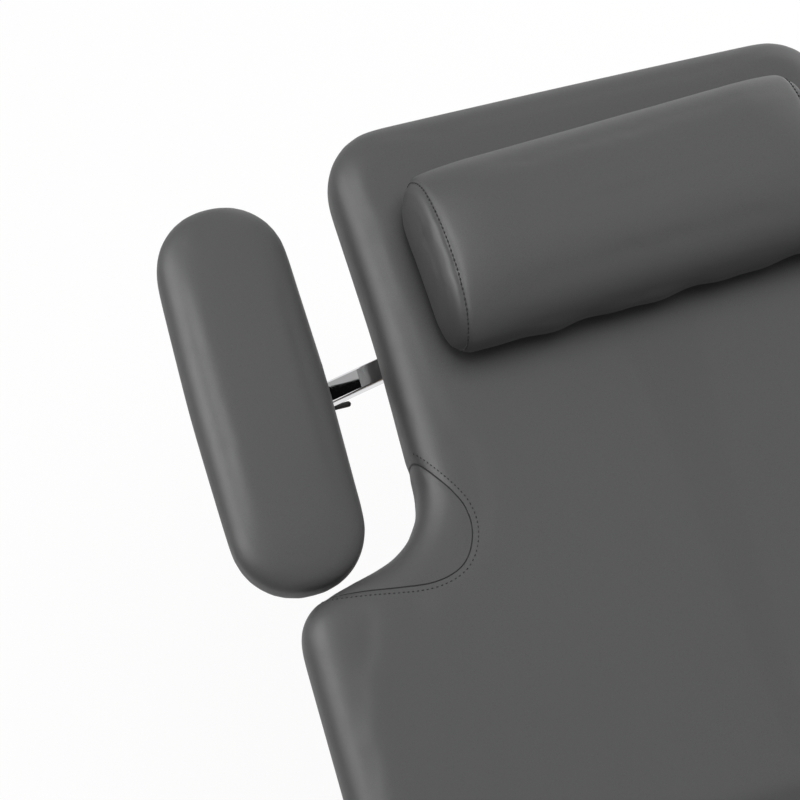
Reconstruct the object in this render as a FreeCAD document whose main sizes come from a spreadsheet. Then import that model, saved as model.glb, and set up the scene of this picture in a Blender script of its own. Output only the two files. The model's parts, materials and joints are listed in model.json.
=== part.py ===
"""Electric massage table: padded back, seat and leg sections on a telescopic lift column.

Millimetres. +X runs to the head end, +Z up. The origin is on the floor, under the middle of the table.
"""
import FreeCAD
import Part
import math
import os
import re

from FreeCAD import Placement, Rotation, Vector

doc = FreeCAD.newDocument("massage_table")
sheet = doc.addObject("Spreadsheet::Sheet", "Sizes")

# Driving dimensions, in millimetres and degrees
SIZES = {
    # Whole table
    "table_length": 1900, "top_height": 650, "slack": 0.3, "running_gap": 0.05,
    "back_hinge_x": 170, "leg_hinge_x": -290, "hinge_drop": 30, "back_swing": 65, "leg_swing": 45,
    # Upholstery
    "cushion_thick": 100, "cushion_round": 38, "cushion_under": 34, "cushion_gap": 5, "crown_rise": 8,
    "back_half": 266.5, "hip_half": 412, "leg_end_half": 339, "leg_corner": 110, "seat_corner": 14,
    "head_to_step": 424, "step_lean": 36, "waist_round": 76, "hip_round": 42, "head_round": 60,
    "side_pull": 5, "side_sweep": 1600, "head_to_pillow": 171.7, "pillow_turn": 3, "pillow_square": 2.6,
    "pillow_length": 385, "pillow_wide": 185, "pillow_high": 98, "pillow_bulge": 18,
    # Plywood panels and the tube frames under them
    "panel_thick": 12, "panel_inset": 22, "tube_high": 40, "tube_wide": 30, "frame_inset": 44,
    "back_tube_y": 90, "leg_tube_y": 200, "hinge_tube_gap": 15,
    # Chassis and drives
    "rail_high": 60, "rail_wide": 30, "rail_y": 150, "plate_thick": 8, "plate_round": 12, "bolt_inset": 20,
    "drive_drop": 186, "drive_y": 60, "drive_tube_r": 20, "drive_rod_r": 11, "drive_motor_r": 23,
    "drive_motor_long": 96, "drive_fixed": 116, "gear_long": 42, "case_wall": 2, "drive_pin_r": 6,
    "eye_rim": 8, "bracket_thick": 14, "fork_cheek": 5, "fork_reach": 34, "fork_web": 8, "fork_rim": 5,
    "rod_play": 4, "roller_r": 7, "lever_thick": 8, "lever_rim": 6, "lever_root": 34,
    # Hinges
    "cheek_thick": 6, "cheek_r": 26, "hinge_pin_r": 8, "cap_r": 30, "cap_thick": 8,
    "knuckle_r": 14, "knuckle_wide": 24, "knuckle_y": 300,
    # Armrests
    "arm_length": 399, "arm_width": 135, "arm_bow": 4, "arm_sweep": 1500, "head_to_arm": 243.5,
    "arm_gap": 52.5, "arm_drop": 10, "arm_pad_thick": 62, "arm_round": 30, "arm_under": 10,
    "arm_board": 10, "arm_inset": 14, "cradle_thick": 4, "cradle_long": 120, "ear_span": 72, "ear_flare": 34,
    "bar_wide": 23, "bar_high": 16, "bar_lean": 11.5, "arm_to_bar": 22.7, "bar_drop": 130, "bar_hold": 130,
    "bar_edge": 2, "sleeve_wall": 4, "mouth_inset": 24, "collar_long": 14, "collar_proud": 1,
    "boss_r": 14, "boss_long": 20, "arm_pin_r": 7, "arm_nut_r": 11,
    "latch_r": 3, "latch_hub": 7, "latch_high": 8, "latch_long": 48, "latch_drop": 22, "latch_back": 1.5,
    # Lift column
    "col_x": -60, "col_long": 220, "col_wide": 180, "col_wall": 4, "col_gap": 3, "col_corner": 24,
    "stage_step": 12, "foot_plate": 10, "foot_reach": 35, "lift_motor_r": 40, "lift_motor_high": 66,
    "lift_tube_r": 24, "lift_tube_wall": 4, "lift_gap": 1,
    "glide_long": 60, "glide_high": 40, "glide_drop": 4,
    # Base
    "base_long": 1100, "base_wide": 580, "base_high": 112, "base_x": -50, "base_corner": 90, "base_wall": 4,
    "base_draft": 8, "base_edge": 26, "skirt_lap": 4, "window_gap": 2,
    "beam_high": 40, "beam_wide": 60, "beam_y": 190, "cross_inset": 40, "post_r": 9,
    "foot_high": 20, "foot_r": 30, "foot_rim": 5, "foot_neck": 7, "foot_inset": 36, "stud_r": 6,
    # Electrics
    "inlet_wide": 48, "inlet_high": 28, "inlet_deep": 24, "inlet_level": 56, "inlet_rim": 4, "inlet_proud": 2,
    "blade_wide": 2, "blade_high": 8, "blade_pitch": 7, "blade_back": 3,
    "switch_wide": 14, "switch_high": 22, "switch_deep": 6, "switch_well": 12,
    "box_long": 84, "box_wide": 290, "box_high": 44, "box_round": 10, "box_gap": 4,
    "hand_wide": 52, "hand_high": 120, "hand_thick": 20, "hand_x": -90, "hand_drop": 12, "hand_round": 14,
    "hand_play": 2, "holder_wall": 3, "key_wide": 36, "key_high": 16, "key_round": 5.5, "key_gap": 0.5,
    "key_proud": 1.8, "key_sunk": 2.4, "key_dip": 1.4, "key_pitch": 24, "key_edge": 0.75,
    # Fasteners and small edges
    "screw_r": 5, "screw_head": 3,
}
for row, (alias, value) in enumerate(SIZES.items(), start=1):
    sheet.set(f"A{row}", alias)
    sheet.set(f"B{row}", str(value))
    sheet.setAlias(f"B{row}", alias)
doc.recompute()


class Cells:
    """Reads a driving dimension from the sheet by its alias."""

    def __getattr__(self, alias):
        return float(sheet.get(alias))


at = Cells()
parts = {}
FLAT = Rotation()
UPRIGHT = Rotation(Vector(1, 0, 0), 90)      # sketch x to +X, sketch y to +Z, thickness towards -Y
ENDWISE = Rotation(Vector(1, 1, 1), 120)     # sketch x to +Y, sketch y to +Z, thickness towards +X
ALONG_X = Rotation(Vector(0, 1, 0), 90)
ALONG_Y = Rotation(Vector(1, 0, 0), -90)

# Levels of the layers, from the top down
pad_level = at.top_height - at.cushion_thick
panel_level = pad_level - at.panel_thick
frame_level = panel_level - at.tube_high
rail_level = frame_level - at.rail_high
plate_level = rail_level - at.plate_thick
back_axis = Vector(at.back_hinge_x, 0, at.top_height - at.hinge_drop)
leg_axis = Vector(at.leg_hinge_x, 0, frame_level + at.tube_high / 2)
drive_level = at.top_height - at.drive_drop
head_end = at.table_length / 2
foot_end = -at.table_length / 2
step_x = head_end - at.head_to_step
arm_x = head_end - at.head_to_arm

# Lengths that several pieces share, as formulas of the sheet
COLUMN_TOP = "top_height - cushion_thick - panel_thick - tube_high - rail_high - plate_thick"
COLUMN_FOOT = "foot_high + beam_high + foot_plate"
SEAT_LONG = "back_hinge_x - leg_hinge_x - hinge_tube_gap * 4 / 3"
SEAT_WIDE = "2 * hip_half - 2 * frame_inset"
BACK_LONG = "table_length / 2 - head_round - back_hinge_x - 2 * hinge_tube_gap"
LEG_LONG = "table_length / 2 - leg_corner + leg_hinge_x - hinge_tube_gap"


def bind(item, prop, formula):
    """Binds a property to a formula of sheet aliases."""
    named = re.sub(r"[a-z]\w*", lambda m: "Sizes." + m[0] if m[0] in SIZES else m[0], formula)
    item.setExpression(prop, named)


def keep(label, item):
    """Names a finished sub-part."""
    item.Label = label
    parts[label] = item
    return item


def loose(label, shape):
    """A sub-part or a tool made from a shape."""
    item = doc.addObject("Part::Feature", label)
    item.Shape = shape
    return item


def box(label, length, width, height, corner):
    """A block whose three sizes are formulas, with its lowest corner at a point."""
    item = doc.addObject("Part::Box", label)
    for prop, formula in (("Length", length), ("Width", width), ("Height", height)):
        bind(item, prop, formula)
    item.Placement = Placement(Vector(*corner), FLAT)
    return item


def rod(label, radius, height, start, turn=FLAT):
    """A round bar whose radius and length are formulas."""
    item = doc.addObject("Part::Cylinder", label)
    bind(item, "Radius", radius)
    bind(item, "Height", height)
    item.Placement = Placement(Vector(*start), turn)
    return item


def fuse(label, items):
    item = doc.addObject("Part::MultiFuse", label)
    item.Shapes = items
    item.Refine = True
    return item


def cut(label, base, tool):
    item = doc.addObject("Part::Cut", label)
    item.Base = base
    item.Tool = tool
    return item


def group(label, items):
    """Like pieces that stay separate solids in one node."""
    item = doc.addObject("Part::Compound", label)
    item.Links = items
    return item


def rounded(points):
    """Lines and tangent arcs round a closed outline of (x, y, corner radius) points."""
    ends = []
    for index, (x, y, radius) in enumerate(points):
        here = Vector(x, y, 0)
        to_last = Vector(*points[index - 1][:2], 0) - here
        to_next = Vector(*points[(index + 1) % len(points)][:2], 0) - here
        to_last.normalize()
        to_next.normalize()
        half = to_last.getAngle(to_next) / 2
        if radius <= 0:
            ends.append((here, None, here))
            continue
        reach = radius / math.tan(half)
        middle = here + (to_last + to_next).normalize() * (radius / math.sin(half) - radius)
        ends.append((here + to_last * reach, middle, here + to_next * reach))
    curves = []
    for index, (start, middle, end) in enumerate(ends):
        if middle:
            curves.append(Part.Arc(start, middle, end))
        following = ends[(index + 1) % len(ends)][0]
        if (following - end).Length > 1e-6:
            curves.append(Part.LineSegment(end, following))
    return curves


def rectangle(length, width, corner=0, centre=(0, 0)):
    x, y = centre
    corners = ((-1, -1), (1, -1), (1, 1), (-1, 1))
    return [(x + sx * length / 2, y + sy * width / 2, corner) for sx, sy in corners]


def both_sides(half):
    """A closed outline from its half at positive y, foot end first."""
    return half + [(x, -y, radius) for x, y, radius in reversed(half)]


def face_of(points):
    return Part.Face(Part.Wire(Part.__sortEdges__([curve.toShape() for curve in rounded(points)])))


def padded(label, points, thick, openings=(), circles=(), base=(0, 0, 0), turn=FLAT):
    """A body padded from a sketched outline with openings. Thickness is a formula."""
    body = doc.addObject("PartDesign::Body", label)
    sketch = body.newObject("Sketcher::SketchObject", label + "_outline")
    plane = next(p for p in body.Origin.OriginFeatures if p.Role == "XY_Plane")
    sketch.AttachmentSupport = (plane, [""])
    sketch.MapMode = "FlatFace"
    for outline in (points, *openings):
        for curve in rounded(outline):
            sketch.addGeometry(curve, False)
    for x, y, radius in circles:
        sketch.addGeometry(Part.Circle(Vector(x, y, 0), Vector(0, 0, 1), radius), False)
    pad = body.newObject("PartDesign::Pad", label + "_pad")
    pad.Profile = sketch
    bind(pad, "Length", thick)
    body.Placement = Placement(Vector(*base), turn)
    doc.recompute()
    return body


def soften(body, radius, wanted):
    """Rounds the edges of a body's tip that a test picks, by a radius formula."""
    tip = body.Tip
    names = [f"Edge{n}" for n, edge in enumerate(tip.Shape.Edges, start=1) if wanted(edge)]
    fillet = body.newObject("PartDesign::Fillet", body.Name + "_round")
    fillet.Base = (tip, names)
    bind(fillet, "Radius", radius)
    doc.recompute()
    return body


def slot_outline(start, end, half):
    """Outline of a straight slot between two centres."""
    along = (end - start).normalize() * half
    across = Vector(-along.y, along.x, 0)
    corners = (start - along - across, end + along - across, end + along + across, start - along + across)
    return [(p.x, p.y, half * 0.999) for p in corners]


# Upholstery

def cushion(label, points, top, thick, edge, under, crown):
    """A crowned pad with a rolled top edge and a tight lower edge."""
    block = face_of(points).extrude(Vector(0, 0, thick))
    block.translate(Vector(0, 0, top - thick))
    bounds = block.BoundBox
    wide, middle = bounds.YLength / 2, (bounds.YMin + bounds.YMax) / 2
    out = 1.2 * wide
    fall = crown * (out / wide) ** 2
    high, low = top - fall, top - 2 * thick
    side = [Vector(0, middle + y, z) for y, z in ((-out, high), (-out, low), (out, low), (out, high))]
    lines = [Part.makeLine(a, b) for a, b in zip(side, side[1:])]
    arch = Part.Arc(side[0], Vector(0, middle, top), side[3]).toShape()
    profile = Part.Face(Part.Wire(Part.__sortEdges__([*lines, arch])))
    dome = profile.extrude(Vector(bounds.XLength + 2 * thick, 0, 0))
    dome.translate(Vector(bounds.XMin - thick, 0, 0))
    pad = block.common(dome).Solids[0]
    low = top - 2 * crown - edge / 2
    pad = pad.makeFillet(edge, [e for e in pad.Edges if e.BoundBox.ZMin > low])
    pad = pad.makeFillet(under, [e for e in pad.Edges if e.BoundBox.ZMax < top - thick + 0.01])
    return keep(label, loose(label, pad))


def back_outline(inset=0.0):
    """Back section in plan: narrow shoulders, a waist that steps out, and full-width hips."""
    near = at.back_hinge_x + at.cushion_gap + inset
    return both_sides([
        (near, at.hip_half - inset, at.seat_corner),
        (step_x - at.step_lean - inset, at.hip_half - inset, at.hip_round - inset / 2),
        (step_x - inset, at.back_half - inset, at.waist_round + inset / 2),
        ((step_x + head_end) / 2, at.back_half - at.side_pull - inset, at.side_sweep),
        (head_end - inset, at.back_half - inset, at.head_round - inset / 2),
    ])


def seat_outline(inset=0.0):
    reach = at.cushion_gap + inset
    return both_sides([
        (at.leg_hinge_x + reach, at.hip_half - inset, at.seat_corner),
        (at.back_hinge_x - reach, at.hip_half - inset, at.seat_corner),
    ])


def leg_outline(inset=0.0):
    return both_sides([
        (foot_end + inset, at.leg_end_half - inset, at.leg_corner - inset / 2),
        (at.leg_hinge_x - at.cushion_gap - inset, at.hip_half - inset, at.seat_corner),
    ])


SECTIONS = {"backrest": back_outline, "seat": seat_outline, "legrest": leg_outline}
for section, outline in SECTIONS.items():
    cushion(section + "_cushion", outline(), at.top_height, at.cushion_thick, at.cushion_round,
            at.cushion_under, at.crown_rise)
    board = padded(section + "_panel", outline(at.panel_inset), "panel_thick", base=(0, 0, panel_level))
    keep(section + "_panel", board)


def pillow():
    """Bolster with a squarish domed section and drawn-in ends, laid a little askew."""
    wide, high, length = at.pillow_wide, at.pillow_high, at.pillow_length
    lip = high * 0.28
    power = 2 / at.pillow_square
    turns = [math.radians(22.5 * n) for n in range(5)]
    quarter = [(math.cos(a) ** power, math.sin(a) ** power) for a in turns[:4]] + [(0, 1)]
    dome = quarter + [(-x, z) for x, z in reversed(quarter[:4])]

    def section(y, share):
        half, foot, rise = wide / 2 * share, lip * share, (high - lip) * share
        lift = high * (1 - share) / 2
        arch = [Vector(half * x, y, lift + foot + rise * z) for x, z in dome]
        over = Part.BSplineCurve()
        over.interpolate(arch)
        base = [arch[-1], Vector(-half * 0.9, y, lift), Vector(half * 0.9, y, lift), arch[0]]
        return Part.Wire([over.toShape(), *(Part.makeLine(a, b) for a, b in zip(base, base[1:]))])

    bulge = at.pillow_bulge
    ends = [(-length / 2 - bulge, 0.62), (-length / 2 - bulge * 0.6, 0.86), (-length / 2, 1.0)]
    stations = ends + [(-y, share) for y, share in reversed(ends)]
    body = Part.makeLoft([section(y, share) for y, share in stations], True, True)
    body.rotate(Vector(0, 0, 0), Vector(0, 0, 1), at.pillow_turn)
    body.translate(Vector(head_end - at.head_to_pillow, 0, at.top_height + at.slack))
    return keep("pillow", loose("pillow", body))


pillow()

# Tube frames of the three sections
cheek_inner = at.hip_half + at.slack
cheek_outer = cheek_inner + at.cheek_thick + at.slack
seat_foot_x = at.back_hinge_x - at.cheek_r * 3.6


def tube(label, length, width, x, y):
    """A straight frame tube with its lowest plan corner at a point."""
    return box(label, length, width, "tube_high", (x, y, frame_level))


def frames():
    """Welded frames: each tube meets the next end to side."""
    wide, gap = at.tube_wide, at.hinge_tube_gap
    seat_y, back_y, leg_y = at.hip_half - at.frame_inset, at.back_tube_y, at.leg_tube_y
    seat0, seat1 = at.leg_hinge_x + gap, at.back_hinge_x - gap / 3
    seat = [tube(f"seat_end_{n}", "tube_wide", SEAT_WIDE, x, -seat_y)
            for n, x in enumerate((seat0, seat1 - wide))]
    seat += [tube(f"seat_side_{n}", SEAT_LONG + " - 2 * tube_wide", "tube_wide", seat0 + wide, y)
             for n, y in enumerate((-seat_y, seat_y - wide))]
    seat += [tube(f"seat_foot_{n}", "cheek_r * 2.4", "frame_inset + slack", seat_foot_x, y)
             for n, y in enumerate((-cheek_inner, seat_y))]
    back0, back1 = at.back_hinge_x + 2 * gap, head_end - at.head_round
    back = [tube("back_hip", "tube_wide", "2 * hip_half + 2 * cheek_thick + 4 * slack", back0, -cheek_outer),
            tube("back_top", "tube_wide", "2 * back_tube_y", back1 - wide, -back_y)]
    back += [tube(f"back_spine_{n}", BACK_LONG + " - 2 * tube_wide", "tube_wide", back0 + wide, y)
             for n, y in enumerate((-back_y, back_y - wide))]
    leg0, leg1 = foot_end + at.leg_corner, at.leg_hinge_x - gap
    leg = [tube("leg_foot", "tube_wide", "2 * leg_tube_y", leg0, -leg_y),
           tube("leg_knee", "tube_wide", SEAT_WIDE, leg1 - wide, -seat_y)]
    leg += [tube(f"leg_rail_{n}", LEG_LONG + " - 2 * tube_wide", "tube_wide", leg0 + wide, y)
            for n, y in enumerate((-leg_y, leg_y - wide))]
    return seat, back, leg


seat_tubes, back_tubes, leg_tubes = frames()

# Backrest hinges: cheek plates on both flanks, up beside the cushions to an axis close under the top


def flank_hinges():
    axis_x, axis_z = back_axis.x, back_axis.z
    foot, radius = frame_level, at.cheek_r

    def plate(label, side, reach, place):
        """A cheek that rises from a foot on the frame to a round eye on the axis."""
        toe, eye, back = axis_x + reach * 3.6, axis_x + reach, axis_x - reach
        points = [(toe, foot, radius * 0.15), (toe, foot + at.tube_high, radius * 0.3),
                  (eye, axis_z + radius * 0.2, radius * 0.04), (eye, axis_z + radius, radius * 0.98),
                  (back, axis_z + radius, radius * 0.98), (back, axis_z - radius, radius * 0.77),
                  (axis_x + reach * 1.2, foot, radius * 0.15)]
        top = place + at.cheek_thick if side > 0 else -place
        hole = (axis_x, axis_z, at.hinge_pin_r + at.running_gap)
        return padded(label, points, "cheek_thick", circles=[hole], base=(0, top, 0), turn=UPRIGHT)

    seat_cheeks, back_cheeks, pins, caps = [], [], [], []
    end = cheek_outer + at.cheek_thick + at.slack
    for side in (-1, 1):
        n = (side + 1) // 2
        seat_cheeks.append(plate(f"seat_cheek_{n}", side, -radius, cheek_inner))
        back_cheeks.append(plate(f"back_cheek_{n}", side, radius, cheek_outer))
        start = cheek_inner if side > 0 else -end
        pins.append(rod(f"hinge_pin_{n}", "hinge_pin_r", "2 * cheek_thick + 2 * slack",
                        (axis_x, start, axis_z), ALONG_Y))
        cap_y = end if side > 0 else -end - at.cap_thick
        disc = rod(f"hinge_disc_{n}", "cap_r", "cap_thick", (axis_x, cap_y, axis_z), ALONG_Y)
        caps.append(rim_round(f"hinge_cap_{n}", disc, "screw_head", side * (end + at.cap_thick)))
    keep("seat_hinge_cheeks", group("seat_hinge_cheeks", seat_cheeks))
    keep("backrest_hinge_cheeks", group("backrest_hinge_cheeks", back_cheeks))
    keep("hinge_pins", group("hinge_pins", pins))
    keep("hinge_caps", group("hinge_caps", caps))


def rim_round(label, disc, radius, y):
    """Rounds the outer rim of a disc that lies across the table."""
    doc.recompute()
    item = doc.addObject("Part::Fillet", label)
    item.Base = disc
    size = sheet.get(radius)
    rims = [n for n, e in enumerate(disc.Shape.Edges, start=1)
            if e.BoundBox.YLength < 0.01 and abs(e.CenterOfMass.y - y) < 0.01]
    item.Edges = [(n, size, size) for n in rims]
    return item


flank_hinges()


def knee_hinges():
    """Knuckled hinges between the seat and the leg section."""
    x, z, radius = leg_axis.x, leg_axis.z, at.knuckle_r
    seat_ears, leg_ears, pins = [], [], []

    def ear(label, y, reach):
        low, high = z - radius, z + radius
        points = [(x + reach, low, 0), (x + reach, high, 0), (x, high, 0), (x, low, 0)]
        base = (0, y + at.knuckle_wide, 0)
        block = padded(label + "_block", points, "knuckle_wide", base=base, turn=UPRIGHT)
        barrel = rod(label + "_barrel", "knuckle_r", "knuckle_wide", (x, y, z), ALONG_Y)
        hole = rod(label + "_hole", "hinge_pin_r + running_gap", "knuckle_wide", (x, y, z), ALONG_Y)
        return cut(label, fuse(label + "_whole", [block, barrel]), hole)

    for n, middle in enumerate((-at.knuckle_y, at.knuckle_y)):
        step = at.knuckle_wide + at.slack
        start = middle - at.knuckle_wide / 2
        seat_ears += [ear(f"seat_ear_{n}_{m + 1}", start + m * step, at.hinge_tube_gap) for m in (-1, 1)]
        leg_ears.append(ear(f"leg_ear_{n}", start, -at.hinge_tube_gap))
        pins.append(rod(f"knee_pin_{n}", "hinge_pin_r", "3 * knuckle_wide + 2 * slack",
                        (x, start - step, z), ALONG_Y))
    keep("seat_frame", group("seat_frame", seat_tubes + seat_ears))
    keep("legrest_frame", group("legrest_frame", leg_tubes + leg_ears))
    keep("knee_hinge_pins", group("knee_hinge_pins", pins))


knee_hinges()

# Chassis on top of the column


def chassis():
    rail0 = at.leg_hinge_x + at.hinge_tube_gap
    rails = [box(f"chassis_rail_{n}", SEAT_LONG, "rail_wide", "rail_high",
                 (rail0, side * at.rail_y - at.rail_wide / 2, rail_level)) for n, side in enumerate((1, -1))]
    reach = 2 * at.rail_y + at.rail_wide
    bolts = [(sx * (at.col_long / 2 - at.bolt_inset), sy * at.rail_y) for sx in (-1, 1) for sy in (-1, 1)]
    holes = [(x, y, at.screw_r + at.running_gap) for x, y in bolts]
    plan = rectangle(at.col_long + at.bolt_inset, reach, at.plate_round)
    plate = padded("column_top_plate", plan, "plate_thick", circles=holes, base=(at.col_x, 0, plate_level))
    keep("column_top_plate", plate)
    heads = []
    for n, (x, y) in enumerate(bolts):
        head = rod(f"top_bolt_head_{n}", "2 * screw_r", "2 * screw_head",
                   (at.col_x + x, y, plate_level - 2 * at.screw_head))
        shank = rod(f"top_bolt_shank_{n}", "screw_r", "plate_thick", (at.col_x + x, y, plate_level))
        heads.append(fuse(f"top_bolt_{n}", [head, shank]))
    keep("top_plate_bolts", group("top_plate_bolts", heads))
    return rails


chassis_rails = chassis()
rear_pins = []


def drive(section, label, axis, swing, reach, side, forward):
    """Linear drive under the seat and the slotted lever that it pushes.

    The roller runs on a straight line at drive_level. The lever swings about the section's hinge axis.
    Swing and reach are formulas: the section's swing, and the height of its axis over the drive.
    Forward is +1 where the rod points to the head end.
    """
    y, level = side * at.drive_y, drive_level
    arm = axis.z - level
    half = math.radians(getattr(at, swing)) / 2
    stroke = 2 * arm * math.tan(half)
    travel = f"2 * ({reach}) * tan({swing} * 0.5 deg)"
    short = axis.x - forward * stroke / 2                     # roller with the rod drawn in
    rest = axis.x - stroke / 2                                # roller with the section flat
    rear = short - forward * (stroke + at.drive_fixed)
    nose = at.fork_reach + at.fork_web + at.rod_play
    long = f"{travel} + drive_fixed - fork_reach - fork_web - rod_play - gear_long"
    tube_start = min(rear + forward * at.gear_long, short - forward * nose)
    barrel = rod(f"{label}_barrel", "drive_tube_r", long, (tube_start, y, level), ALONG_X)
    bore = rod(f"{label}_bore", "drive_rod_r + running_gap", long, (tube_start, y, level), ALONG_X)
    keep(f"{label}_tube", cut(f"{label}_tube", barrel, bore))
    housing(label, y, side, forward, rear)
    rear_bracket(label, y, side, forward, rear)
    # Rod with its fork, and the roller
    tip = rest - forward * at.fork_reach
    start = rear + forward * (at.gear_long + at.rod_play) + (rest - short)
    rod_long = f"{travel} + drive_fixed - fork_reach - gear_long - rod_play"
    slide = rod(f"{label}_shaft", "drive_rod_r", rod_long, (min(start, tip), y, level), ALONG_X)
    pieces = [slide]
    inside = at.lever_thick / 2 + at.slack
    eye = at.roller_r + at.fork_rim
    for n, edge in enumerate((-1, 1)):
        cheek_y = y + edge * (inside + at.fork_cheek / 2) + at.fork_cheek / 2
        root = tip - forward * at.fork_web
        points = [(root, level - eye, eye * 0.3), (rest + forward * eye, level - eye, eye * 0.98),
                  (rest + forward * eye, level + eye, eye * 0.98), (root, level + eye, eye * 0.3)]
        pieces.append(padded(f"{label}_fork_cheek_{n}", points, "fork_cheek", base=(0, cheek_y, 0),
                             turn=UPRIGHT, circles=[(rest, level, at.roller_r + at.running_gap)]))
    web = box(f"{label}_fork_web", "fork_web", "lever_thick + 2 * slack", "2 * roller_r",
              (min(tip, tip - forward * at.fork_web), y - inside, level - at.roller_r))
    keep(f"{label}_rod", fuse(f"{label}_rod", [*pieces, web]))
    roller = rod(f"{label}_roller_bar", "roller_r", "lever_thick + 2 * slack + 2 * fork_cheek",
                 (rest, y - inside - at.fork_cheek, level), ALONG_Y)
    keep(f"{label}_roller", roller)
    lever(section, axis, half, arm, y)


def housing(label, y, side, forward, rear):
    """Gearbox and motor in one moulded housing, with the rear eye."""
    level, eye = drive_level, at.drive_pin_r + at.eye_rim
    gap = at.drive_motor_r + at.drive_tube_r + 2 * at.case_wall
    near, far = rear + forward * (eye + at.case_wall), rear + forward * at.gear_long
    middle = (near + far) / 2
    plan = rectangle(abs(far - near), gap + 2 * at.drive_tube_r + 2 * at.case_wall, at.plate_round,
                     (middle, y + side * gap / 2))
    case = padded(f"{label}_case", plan, "2 * drive_tube_r + 2 * case_wall",
                  base=(0, 0, level - at.drive_tube_r - at.case_wall))
    soften(case, "screw_r", lambda e: e.BoundBox.ZLength < 0.01)
    back = rear - forward * eye
    points = [(back, level - eye, eye * 0.98), (middle, level - eye, 0), (middle, level + eye, 0),
              (back, level + eye, eye * 0.98)]
    lug = padded(f"{label}_lug", points, "drive_rod_r", base=(0, y + at.drive_rod_r / 2, 0), turn=UPRIGHT,
                 circles=[(rear, level, at.drive_pin_r + at.running_gap)])
    start = far if forward > 0 else far - at.drive_motor_long
    motor = rod(f"{label}_can", "drive_motor_r", "drive_motor_long", (start, y + side * gap, level), ALONG_X)
    keep(f"{label}_housing", fuse(f"{label}_housing", [case, lug, motor]))


def rear_bracket(label, y, side, forward, rear):
    """Forked bracket welded to the chassis rail, and the pin that holds the drive's rear eye."""
    level, eye = drive_level, at.drive_pin_r + at.eye_rim
    rear_pins.append(rod(f"{label}_rear_pin", "drive_pin_r", "drive_rod_r + 4 * fork_cheek",
                         (rear, y - at.drive_rod_r / 2 - 2 * at.fork_cheek, level), ALONG_Y))
    stand = rear - forward * (eye + at.case_wall)
    wall = at.rail_y - at.rail_wide / 2
    start = stand - at.bracket_thick if forward > 0 else stand
    corner = (start, at.drive_y / 3 if side > 0 else -wall, level - eye)
    pieces = [box(f"{label}_bracket_bar", "bracket_thick", "rail_y - rail_wide / 2 - drive_y / 3",
                  "2 * drive_pin_r + 2 * eye_rim", corner)]
    for n, edge in enumerate((-1, 1)):
        cheek_y = y + edge * (at.drive_rod_r / 2 + at.slack + at.fork_cheek / 2) + at.fork_cheek / 2
        points = [(stand, level - eye, 0), (rear + forward * eye, level - eye, eye * 0.98),
                  (rear + forward * eye, level + eye, eye * 0.98), (stand, level + eye, 0)]
        pieces.append(padded(f"{label}_bracket_cheek_{n}", points, "fork_cheek", base=(0, cheek_y, 0),
                             turn=UPRIGHT, circles=[(rear, level, at.drive_pin_r + at.running_gap)]))
    chassis_rails.append(fuse(f"{label}_bracket", pieces))


def lever(section, axis, half, arm, y):
    """Slotted lever plate, welded under the section's first cross tube."""
    lag = max(abs(arm * (math.tan(half * n / 20) - n / 20 * math.tan(half))) for n in range(21))
    wide = at.roller_r + lag + 2 * at.slack
    rim = wide + at.lever_rim
    down = Vector(-math.sin(half), -math.cos(half), 0)
    across = Vector(math.cos(half), -math.sin(half), 0)
    centre = Vector(axis.x, axis.z, 0)
    inner, outer = centre + down * arm, centre + down * (arm / math.cos(half))
    low, high = outer + down * rim, inner - down * rim
    points = [(low - across * rim, 0.9), (low + across * rim, 0.9)]
    if section == "legrest":
        far = at.leg_hinge_x - at.hinge_tube_gap
        points += [(high + across * rim, 0.6), (Vector(far, frame_level, 0), 0),
                   (Vector(far - at.tube_wide, frame_level, 0), 0)]
    else:
        near = at.back_hinge_x + 2 * at.hinge_tube_gap
        far = near + at.tube_wide
        points += [(Vector(far, frame_level - at.lever_root, 0), 1.4), (Vector(far, frame_level, 0), 0),
                   (Vector(near, frame_level, 0), 0), (Vector(near, frame_level - at.lever_root / 2, 0), 0.3),
                   (high + across * rim, 0.9), (high - across * rim, 0.7)]
    outline = [(p.x, p.y, share * rim) for p, share in points]
    plate = padded(f"{section}_lever", outline, "lever_thick", openings=[slot_outline(inner, outer, wide)],
                   base=(0, y + at.lever_thick / 2, 0), turn=UPRIGHT)
    keep(f"{section}_lever", plate)


BACK_ARM = "drive_drop - hinge_drop"
LEG_ARM = "drive_drop - cushion_thick - panel_thick - tube_high / 2"
drive("backrest", "back_drive", back_axis, "back_swing", BACK_ARM, 1, 1)
drive("legrest", "leg_drive", leg_axis, "leg_swing", LEG_ARM, -1, -1)
keep("chassis_rails", group("chassis_rails", chassis_rails))
keep("drive_rear_pins", group("drive_rear_pins", rear_pins))

# Armrests: a bar in a sleeve under the back, a tilting cradle and a padded board
SLEEVE_LONG = "(back_half - mouth_inset - back_tube_y + tube_wide / 2) / cos(bar_lean * 1 deg) - collar_long"
BAR_LONG = ("(arm_gap + arm_width / 2 - ear_span / 2 - cradle_thick - slack - boss_long / 2 + mouth_inset)"
            " / cos(bar_lean * 1 deg) + bar_hold - boss_r * 0.4")
collars = []


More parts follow.
